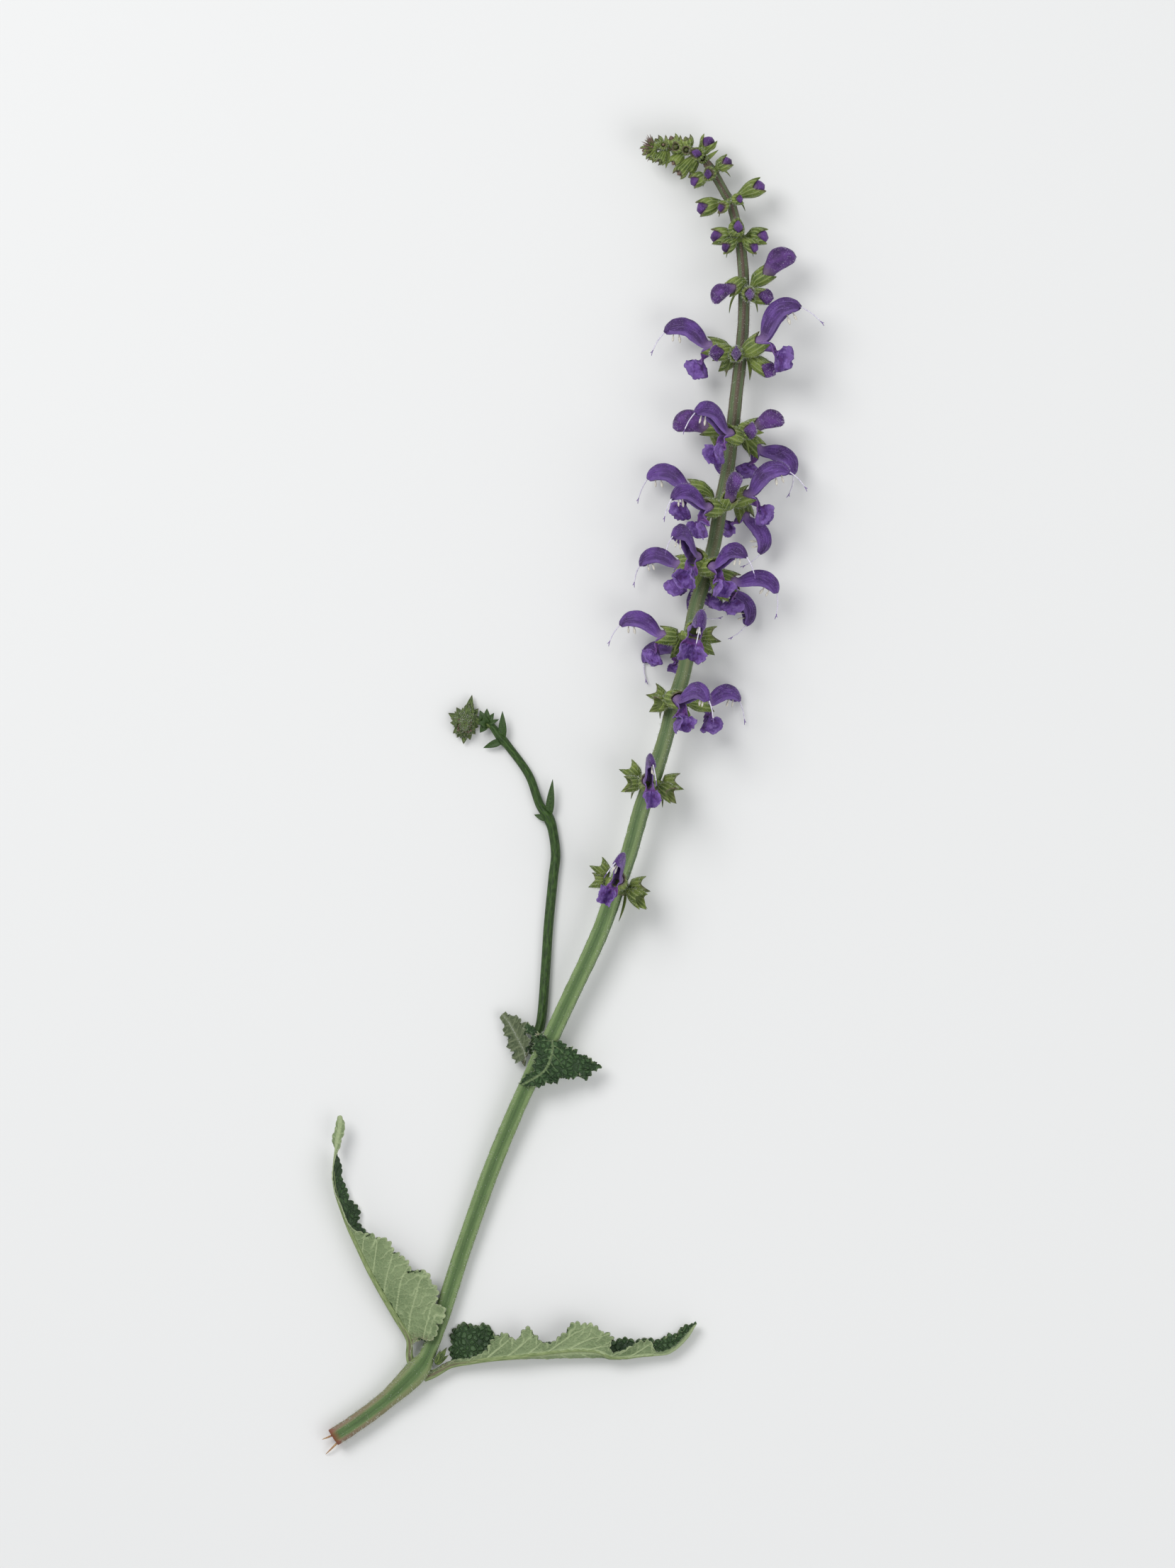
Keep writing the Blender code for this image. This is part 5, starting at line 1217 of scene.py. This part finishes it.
# The rows run from the stalk to the tip, with three numbers for each point. In a folded leaf they are
# the near edge, the midrib, the bulge of the far half and the far edge, in a spread one
# the left edge, the midrib and the right edge.
leaves = {
    "basal_leaf_left": {
        "rows": [
            (-51, -174.2, 4.8, -51.8, -174.7, 3.6, -51.6, -174.5, 3, -51.2, -174.2, 2.4),
            (-49.7, -169.4, 5.4, -51, -169.6, 4.2, -50.8, -169.5, 3.3, -49.9, -169.4, 2.7),
            (-45, -168.5, 7.4, -51.8, -167.4, 4.6, -50.6, -167.4, 3.2, -47.2, -168, 1.4),
            (-41.6, -164.8, 8, -53.1, -165.2, 5, -51, -165.2, 3.2, -45.8, -164.8, 0.9),
            (-40.6, -158.8, 8, -54.9, -162.4, 5.4, -52, -162, 3.3, -45.4, -160.4, 0.8),
            (-42.6, -156.6, 8, -56.4, -159.9, 5.7, -53.2, -159.4, 3.4, -45.6, -156.8, 0.8),
            (-42.8, -152.5, 8, -58.2, -156.9, 6, -55, -156.4, 3.5, -46.6, -153.4, 0.8),
            (-45.4, -148.4, 8, -60, -153.8, 6.2, -57, -153.2, 3.6, -48.2, -150, 0.8),
            (-49.2, -146.9, 7.9, -61.8, -150.6, 6.4, -59, -150, 3.7, -50.8, -147.4, 0.8),
            (-52.4, -144.4, 7.8, -63.6, -147.3, 6.5, -60.8, -146.8, 3.8, -53.6, -144.9, 0.8),
            (-56.8, -139.6, 7.6, -65.4, -143.6, 6.6, -62.8, -143.2, 3.8, -57.6, -141.6, 0.8),
            (-60.8, -136.3, 7.6, -67, -140.2, 6.6, -65, -139.8, 3.9, -62, -138.4, 0.9),
            (-65.2, -136, 7.5, -68.4, -137.3, 6.5, -67, -137, 4, -65.2, -135.6, 1.2),
            (-69.8, -133.2, 8.2, -69.8, -134.3, 6.4, -68.6, -134, 4, -66.9, -132.2, 1.6),
            (-72.3, -127.6, 8.3, -72.1, -128.3, 6.2, -70.8, -128.4, 4, -67.3, -128.6, 2),
            (-74.5, -121.8, 8, -74, -122.4, 6, -73, -122.5, 4.2, -71, -122.6, 2.6),
            (-75, -115.9, 7.8, -74.7, -116.2, 5.9, -73.9, -116.2, 4.5, -72.2, -116.2, 3.2),
            (-73.9, -111.2, 7.2, -74.4, -111.3, 6, -74.1, -111.4, 5, -73.4, -111.6, 4.2),
            (-72.2, -107.4, 6.9, -73.6, -107.2, 6.2, -74.2, -107, 5.8, -74.9, -106.9, 5.3),
            (-71.2, -102.4, 6.9, -72.7, -102.8, 6.6, -73.4, -102.8, 6.3, -74.1, -102.9, 5.9),
            (-71.9, -99.4, 6.9, -72.5, -99.1, 6.7, -72.8, -99.2, 6.6, -73.1, -99.4, 6.4),
        ],
        "flip": True,
        "faces": ["under", "upper"],
        "grid": (64, 320),
        "tooth": (1.4, 2.0, 0.6),  # depth, length, sharpness
        "lobe": (1.8, 7.6),
        "veins": (7.2, 1.6, -0.03),  # spacing, slope, curve
        "relief": 0.34,
        "wave": 0.5,
        "seed": 3.0,
        "stalk": [(-49.4, -178.8, 3.4, 1.5), (-51, -174.2, 3.7, 1.15)],
    },
    "basal_leaf_right": {
        "rows": [
            (-45, -179.3, 4.7, -45.6, -180.5, 3.5, -45.5, -180.4, 2.7, -45.1, -179.6, 1.9),
            (-38.5, -175.2, 5.3, -38.3, -176.7, 4.2, -38.2, -177, 3.1, -38.3, -175.9, 1.9),
            (-32, -174, 5.9, -32, -175.5, 4.8, -32, -176.2, 3.3, -38.4, -169.4, 1.1),
            (-28.6, -172.8, 6.4, -28, -174.9, 5.3, -28.5, -176.3, 3.3, -36.4, -164.2, 0.9),
            (-26.3, -170, 7.4, -25.4, -174.6, 5.7, -25.8, -176.4, 3.4, -31.4, -164.4, 0.8),
            (-22.6, -166.3, 8, -21.8, -174.3, 6, -22, -176.5, 3.4, -27.8, -164.2, 0.8),
            (-18.6, -168.2, 8, -18, -174, 6.2, -18.2, -176.5, 3.5, -23, -168.2, 0.8),
            (-13.8, -164.9, 8.2, -13.8, -173.4, 6.4, -13.6, -176.6, 3.5, -18, -169.4, 0.8),
            (-10.4, -169.2, 8, -10, -172.9, 6.5, -9.8, -176.9, 3.6, -12.6, -169.9, 0.8),
            (-5.6, -168.8, 8, -5.8, -172.4, 6.6, -5.5, -177.2, 3.7, -7.2, -169.6, 0.8),
            (0.2, -163.3, 8.2, -1.4, -172, 6.6, -0.4, -177.4, 3.8, -1.6, -168.8, 0.8),
            (6.2, -164.4, 8.2, 3.2, -171.9, 6.5, 4.8, -177.5, 3.8, 4.6, -168.4, 0.8),
            (11.2, -167.4, 7.8, 7.4, -172.4, 6.2, 9.2, -177.2, 3.8, 10.4, -168.6, 0.8),
            (11.8, -172.6, 6.8, 11.2, -174, 5.7, 12.8, -176.6, 3.8, 15.6, -168.6, 0.9),
            (17.6, -170.6, 6.8, 16, -174.2, 5.1, 17.2, -175.6, 3.6, 20.4, -168.8, 1),
            (22.8, -168.6, 6.6, 20.8, -173.7, 4.7, 21.6, -174.3, 3.4, 25, -168.8, 1.2),
            (25.4, -172, 5.7, 25, -173.4, 4.5, 25.6, -173.4, 3.2, 29, -168, 1.4),
            (29.4, -171.6, 5.3, 29.6, -172.7, 4.3, 29.9, -172.4, 3.1, 33, -165.6, 1.8),
            (33.6, -168.2, 5.1, 34.5, -168.5, 4.3, 34.8, -168.1, 3.3, 36.2, -164, 2.4),
            (36.9, -164.2, 4.8, 37.7, -163.8, 4.4, 37.9, -163.6, 4, 37.6, -163.1, 3.5),
        ],
        "flip": True,
        "faces": ["upper", "under"],
        "grid": (64, 320),
        "tooth": (1.4, 2.0, 0.6),
        "lobe": (1.2, 6.4),
        "veins": (6.4, 1.5, -0.02),
        "relief": -0.3,
        "wave": 0.45,
        "seed": 9.0,
        "stalk": [(-47, -180.6, 3.5, 1.5), (-43.4, -179.3, 3.7, 1.3)],
    },
    "stem_leaf_front": {
        "rows": [
            (-9, -74.6, 10.2, -6.8, -76, 10.5, -4.6, -76.2, 10.3),
            (-15.4, -70.6, 8, -6.6, -77.9, 10.7, -1.9, -77.2, 10.2),
            (-13, -75, 9.4, -6.7, -79.2, 10.8, 1.3, -79.8, 9),
            (-12.2, -79, 9.9, -7, -80.8, 10.8, 7.9, -83.6, 6.6),
            (-12, -82, 10.1, -7.8, -83, 10.7, 4, -87.4, 7),
            (-12.8, -84.6, 9.9, -9.2, -85.2, 10.4, -0.4, -87.2, 8.6),
            (-14.2, -86.4, 9.3, -11.4, -86.9, 10, -4.6, -88.2, 9.2),
            (-15.8, -87.8, 8.8, -13.8, -88.3, 9.6, -9.3, -89.7, 9.4),
            (-17.2, -89.2, 8, -16, -89.6, 8.8, -14.4, -90.2, 9.2),
        ],
        "flip": False,
        "faces": ["under", "upper"],
        "grid": (72, 120),
        "tooth": (1.8, 1.9, 1.3),
        "lobe": (1.8, 5.2),
        "veins": (2.6, 0.6, 0.0),
        "relief": -0.3,
        "wave": 0.5,
        "seed": 14.0,
        "stalk": [],
    },
    "stem_leaf_back": {
        "rows": [
            (-15.4, -84, 5, -15, -82, 5.3, -14.5, -79.8, 5.4),
            (-16.8, -83, 4.4, -15.4, -79.6, 5, -14, -76.5, 5.3),
            (-19.2, -80.6, 3.6, -17, -76.3, 4.5, -14.6, -72.8, 5),
            (-20.6, -76.4, 3.2, -18.8, -73, 4.1, -15.6, -69.9, 4.6),
            (-22, -72, 3, -20.4, -70.2, 3.7, -18.4, -68.6, 4.2),
            (-22.9, -68.6, 3.1, -22.3, -67.8, 3.4, -21.4, -67.2, 3.7),
        ],
        "flip": False,
        # Its lower face has the underside colours darkened as painted shade
        "faces": ["back", "upper"],
        "grid": (56, 110),
        "tooth": (1.6, 1.8, 1.3),
        "lobe": (3.2, 4.6),
        "veins": (2.4, 0.6, 0.0),
        "relief": 0.12,
        "wave": 0.4,
        "seed": 21.0,
        "stalk": [],
    },
}
leafForm = {
    "wall": 0.32,
    "lengthSteps": 60,
    "hairs": 900,
    "midrib": (1.0, 0.2),
    "midribRows": 17,
    "midribLift": 0.3,
    "groove": 0.16,
    "lowest": 0.45,
    # how wide the veins are: main ones, branches, the cross ones of the net with their spacing, the midrib
    "main": 0.36,
    "branch": 0.22,
    "cross": 0.16,
    "crossStep": 1.5,
    "rib": 0.75,
    "fine": 0.12,  # the fine wrinkles
    # how far along from the stalk the hairs crowd, their lengths, their width
    "hairCrowding": 1.4,
    "hairLengths": (0.35, 0.8),
    "hairWidth": 0.06,
}


# How near a line runs that comes back at every step
def lineMask(place, step, width, shift=0.0):
    base = place / step + shift
    return exp(-((abs(base - round(base)) * step / width) ** 2))


def leafBends(leaf):
    track, seed, steps = Track(leaf["rows"]), leaf["seed"], leafForm["lengthSteps"]
    folded = len(leaf["rows"][0]) > 9
    lengths = {}  # of the near edge, the midrib and the far edge
    for line, start in (("near", 0), ("rib", 3), ("far", len(track.rows[0]) - 3)):
        spots = [Vector(track.at(k / steps)[start : start + 3]) for k in range(steps + 1)]
        lengths[line] = [0.0]
        for a, b in zip(spots, spots[1:]):
            lengths[line].append(lengths[line][-1] + (b - a).length)
    amount, toothStep, sharp = leaf["tooth"]
    lobeAmount, lobeStep = leaf["lobe"]
    veinStep, slope, curve = leaf["veins"]

    def lengthAt(v, line="rib"):
        place = min(max(v, 0.0), 1.0) * steps
        k = min(int(place), steps - 1)
        return lerp(lengths[line][k], lengths[line][k + 1], place - k)

    # Where the point lies: the midrib, the half's outer edge and control point, and the share of the way out
    def parts(u, v):
        if leaf["flip"]:
            u = 1 - u
        row = track.at(v)
        points = [Vector(row[k : k + 3]) for k in range(0, len(row), 3)]
        s = min(abs(2 * u - 1), 1.0)
        if u < 0.5:
            edge, control = points[0], points[0].lerp(points[1], 0.5)
        else:
            edge, control = points[-1], points[2] if folded else points[2].lerp(points[1], 0.5)
        return points[1], control, edge, s, u < 0.5

    def veinMask(u, v):
        rib, control, edge, s, near = parts(u, v)
        far, length, shift = s * (edge - rib).length, lengthAt(v), 0 if near else 0.45
        wander = 1.1 * ripple(length * 0.16, far * 0.3, seed + 4)
        wobble = ripple(length * 0.5, far * 0.5, seed)
        vein, width = length - far * slope - far * far * curve, leafForm["main"] * (1 - s / 3)
        main = lineMask(vein, veinStep, width, shift) * (1 - 0.25 * s)
        vein = length - far * slope * 0.15 + wander * 2
        branch = lineMask(vein, veinStep * 0.42, leafForm["branch"], shift)
        branch *= 0.7 * min(1.0, max(0.0, s - 0.25) * 3)
        cross = lineMask(far + length * 0.35 + wobble * 1.6, leafForm["crossStep"], leafForm["cross"]) * 0.4
        return min(1.0, max(main, branch, cross, exp(-((far / leafForm["rib"]) ** 2))))

    def bend(u, v):
        rib, control, edge, s, near = parts(u, v)
        width, length = (edge - rib).length, lengthAt(v, "near" if near else "far")
        rough = 0.7 + 0.8 * abs(ripple(length * 0.21, 5.0 * near, seed))
        phase = (length / toothStep + (0.0 if near else 0.37)) % 1.0
        lobe = abs(sin(pi * length / lobeStep + seed)) ** 0.7
        if sharp > 1:
            tooth = (phase / 0.72) ** sharp if phase < 0.72 else ((1 - phase) / 0.28) ** sharp
        else:
            tooth = abs(sin(pi * phase)) ** sharp
        reach = (tooth * rough - 0.6) * amount + (lobe - 0.6) * lobeAmount
        place = rib * (1 - s) ** 2 + control * (2 * s * (1 - s)) + edge * s**2
        change = track.at(min(v + 0.01, 1.0)) - track.at(max(v - 0.01, 0.0))
        across = edge - rib if near == leaf["flip"] else rib - edge
        outward = across.cross(Vector(change[3:6]).normalized())
        outward = outward.normalized() if outward.length > 1e-6 else upwards
        aside = Vector(change[:3] if near else change[-3:]).cross(outward).normalized()
        if aside.dot(edge - rib) < 0:
            aside.negate()
        place += aside * (reach * min(1.0, width / 6) * s**4)
        fade = min(1.0, width / 5)
        relief = leaf["relief"] * (veinMask(u, v) - 0.35)
        broad = leaf["wave"] * noise.noise(place * 0.16 + Vector((seed, 0, 0))) * s
        fine = leafForm["fine"] * (noise.noise(place * 0.9 + Vector((0, seed, 0))) - 1)
        place += outward * ((relief + broad + fine) * fade)
        place.z = max(place.z, leafForm["lowest"])
        return place

    return bend, veinMask


# The leaf's stalk, which runs on as its midrib and thins towards the tip
def buildStalk(name, leaf):
    line, count = [Vector(point) for point in leaf["stalk"]], len(leaf["rows"])
    for number, row in enumerate(leaf["rows"][1 : leafForm["midribRows"]]):
        share = number / count
        middle = Vector(row[3:6]) + upwards * (leafForm["midribLift"] * share)
        line.append(Vector((*middle, lerp(*leafForm["midrib"], share))))
    bm = startMesh()
    grooved = lambda row, angle, v: row[3] * (1 - leafForm["groove"] * max(sin(angle), 0.0) ** 6)
    tube(bm, Track(line), 24, 160, grooved, floor=0.3)
    finishPiece(name + "_stalk", bm, ["stalk"], "leaf")


def buildLeaves():
    hairs = startMesh()
    for name, leaf in leaves.items():
        bend, veinMask = leafBends(leaf)
        bm = startMesh()
        skin(bm, *leaf["grid"], bend, mark=veinMask, closed=False)
        addWall(finishPiece(name + "_dressed", bm, leaf["faces"], "leaf", name), leafForm["wall"], -1.0, 1)
        if leaf["stalk"]:
            buildStalk(name, leaf)
        dice = Random(int(leaf["seed"]))
        for i in range(leafForm["hairs"]):
            u = dice.choice((0.5, 0.5, 0.0, 1.0)) + dice.uniform(-0.015, 0.015)
            root = bend(min(max(u, 0.0), 1.0), dice.random() ** leafForm["hairCrowding"])
            way = (strayWay(dice, 1) + upwards * 0.5).normalized()
            addHair(hairs, root, way, dice.uniform(*leafForm["hairLengths"]), leafForm["hairWidth"])
    finishPiece("leafHairs", hairs, ["hair"], "leaf")


buildLeaves()
print("leaves", len(leaves))


# Side shoot, its head and the small axillary shoot

sideShoot = {
    # middle line with its radius
    "line": [
        (-13.2, -80.6, 1.9, 1.3), (-12, -76, 1.8, 1.4), (-10.2, -70, 1.8, 1.4), (-8.9, -55, 1.8, 1.4),
        (-7.9, -40.3, 1.8, 1.4), (-6.4, -25, 1.9, 1.4), (-5.7, -18.3, 1.9, 1.4), (-6.6, -11, 2, 1.4),
        (-7.9, -7, 2, 1.6), (-10.6, -2.9, 2, 1.3), (-14.1, 6.4, 2.1, 1.2), (-20.7, 15.6, 2.4, 1.2),
        (-22.2, 17.2, 2.5, 1.4), (-25.6, 21.6, 2.6, 1), (-27.2, 22.4, 2.6, 1),
    ],
    # leaflets: root, tip, width
    "leaflets": [
        ((-7.9, -7, 2.1), (-6.6, 5.1, 3.4), 2.6), ((-8.2, -7.4, 2), (-12.4, -6, 1.2), 2),
        ((-22.2, 17.2, 2.6), (-22.2, 26.2, 3.6), 2.6), ((-22.2, 17, 2.5), (-28.2, 14.7, 1.6), 2.4),
    ],
    "leafletForm": (0.6, 0.5, 0.3),  # thickness, arch, keel
    "around": 20,
    "rings": 260,
    "square": 0.07,
}
sideHead = {
    "centre": (-32.8, 23.4, 3.1),
    "radius": 2.6,
    "neck": [(-25.4, 21.2, 2.6), (-28.2, 22.7, 2.7), (-32.8, 23.4, 3.1)],
    "neckRadius": (0.95, 1.3),
    "eye": (-34, 21.6, 3.4),
    # the tips of the outermost bracts
    "tips": [
        (-31.6, 31.2), (-33.6, 28.6), (-36.4, 27.8), (-39.2, 25.4), (-38.6, 22.6), (-37.9, 19.2),
        (-36.4, 17.6), (-34.2, 15.9), (-32.2, 17.2), (-30.6, 18.6), (-29.4, 21.2), (-28.6, 24.4),
        (-29.4, 27.2),
    ],
    # rings of bracts: share of the way from the eye to those tips, height of their tips, width
    "rings": [(1, 1.4, 2.7), (0.84, 3, 2.5), (0.64, 4.6, 2.2), (0.46, 5.8, 1.8), (0.3, 6.6, 1.4)],
    "hairs": (0.0, 1.0, 0.3, 0.95, 26, 0.5, 0.08),
    "buds": 40,
    "budWidth": 0.9,
    # leaves of the knot on the neck: root, tip, width
    "knot": [
        ((-27.4, 22.2, 2.8), (-29.2, 26.4, 3.6), 2.8), ((-27.2, 22.2, 2.8), (-27, 27, 3.6), 2.6),
        ((-27, 22.2, 2.8), (-24.8, 25.6, 3.4), 2.2), ((-27, 22, 2.8), (-23.2, 23.6, 3.4), 1.6),
        ((-27.4, 22.4, 3), (-27.8, 25, 5.2), 2.4), ((-27.2, 22.2, 3), (-29.8, 22.6, 5), 2.6),
        ((-27.4, 22, 2.4), (-29.2, 19.4, 2.8), 2.4),
    ],
    "knotForm": (0.7, 0.6, 0.4),
}
axillaryShoot = {
    "leaflets": [
        ((-42.9, -176.4, 5.2), (-39.4, -171, 6.4), 2.4), ((-42.9, -176.4, 5), (-40.2, -172.6, 4.2), 2.2),
        ((-42.8, -176.2, 5.4), (-41.4, -171.8, 6.6), 1.7), ((-42.8, -176.4, 5.2), (-38.8, -173.4, 5.6), 1.5),
    ],
    "leafletForm": (0.7, 0.4, 0.5),
}


def buildSideShoot():
    bm = startMesh()
    square = lambda row, angle, v: row[3] * (1 + sideShoot["square"] * cos(4 * angle))
    tube(bm, Track(sideShoot["line"]), sideShoot["around"], sideShoot["rings"], square, 0.006, floor=0.3)
    addBlades(bm, sideShoot["leaflets"], sideShoot["leafletForm"], (20, 26), 1.0)
    finishPiece("sideShootDressed", bm, ["shoot"], "stem", "side_shoot")


def buildSideHead():
    bm, hairs, dice = startMesh(), startMesh(), Random(5)
    centre, eye, tips = Vector(sideHead["centre"]), Vector(sideHead["eye"]), sideHead["tips"]

    def core(u, v):
        rise, angle = pi * (v - 0.5), 2 * pi * u
        radius = sideHead["radius"] * (1 + 0.1 * cos(7 * angle) * cos(rise))
        return centre + Vector((cos(rise) * cos(angle), cos(rise) * sin(angle), sin(rise) * 0.9)) * radius

    skin(bm, 28, 18, core)
    strand(bm, sideHead["neck"], sideHead["neckRadius"], columns=12, rows=12)
    for ring, (share, height, width) in enumerate(sideHead["rings"]):
        for number, spot in enumerate(tips):
            beside = Vector(tips[(number + 1) % len(tips)])
            aim = Vector(spot).lerp(beside, 0.5 * (ring % 2) + dice.uniform(-0.12, 0.12))
            tip = eye.lerp(Vector((*aim, eye.z)), share * dice.uniform(0.94, 1.04))
            tip.z = height + dice.uniform(-0.3, 0.3)
            root = centre.lerp(eye, 0.6).lerp(tip, 0.15)
            root.z = lerp(centre.z, height, 0.6)
            bend = bladeBend(root, tip, width, 0.6, upwards, 0.4, 0.35)
            skin(bm, 12, 14, bend, mark=ring * 20.0 + number)
            scatterHairs(hairs, bend, sideHead["hairs"], dice, lambda v: root.lerp(tip, v))
    addBlades(bm, sideHead["knot"], sideHead["knotForm"], (16, 16), 0.5, 2)
    for number in range(sideHead["buds"]):
        turn, out = number * 2.4, 0.4 * number**0.5
        way = Vector((cos(turn) * out, sin(turn) * out, 0))
        root = eye + way * 0.7 + upwards * (1.2 - out * 0.25)
        tip = eye + way * 1.2 + upwards * (3.6 - out * 0.5)
        skin(bm, 8, 8, podBend(root, tip, sideHead["budWidth"]), number, number % 2)
    finishPiece("sideHeadDressed", bm, ["head", "tipBract", "shoot"], "calyx", "side_head")
    finishPiece("sideHeadHairs", hairs, ["hair"], "calyx")


def buildAxillaryShoot():
    bm = startMesh()
    addBlades(bm, axillaryShoot["leaflets"], axillaryShoot["leafletForm"], (16, 18), 1.0)
    finishPiece("axillaryShootDressed", bm, ["head"], "leaf", "axillary_shoot")


buildSideShoot()
buildSideHead()
buildAxillaryShoot()
print("side shoot, head and axillary shoot")
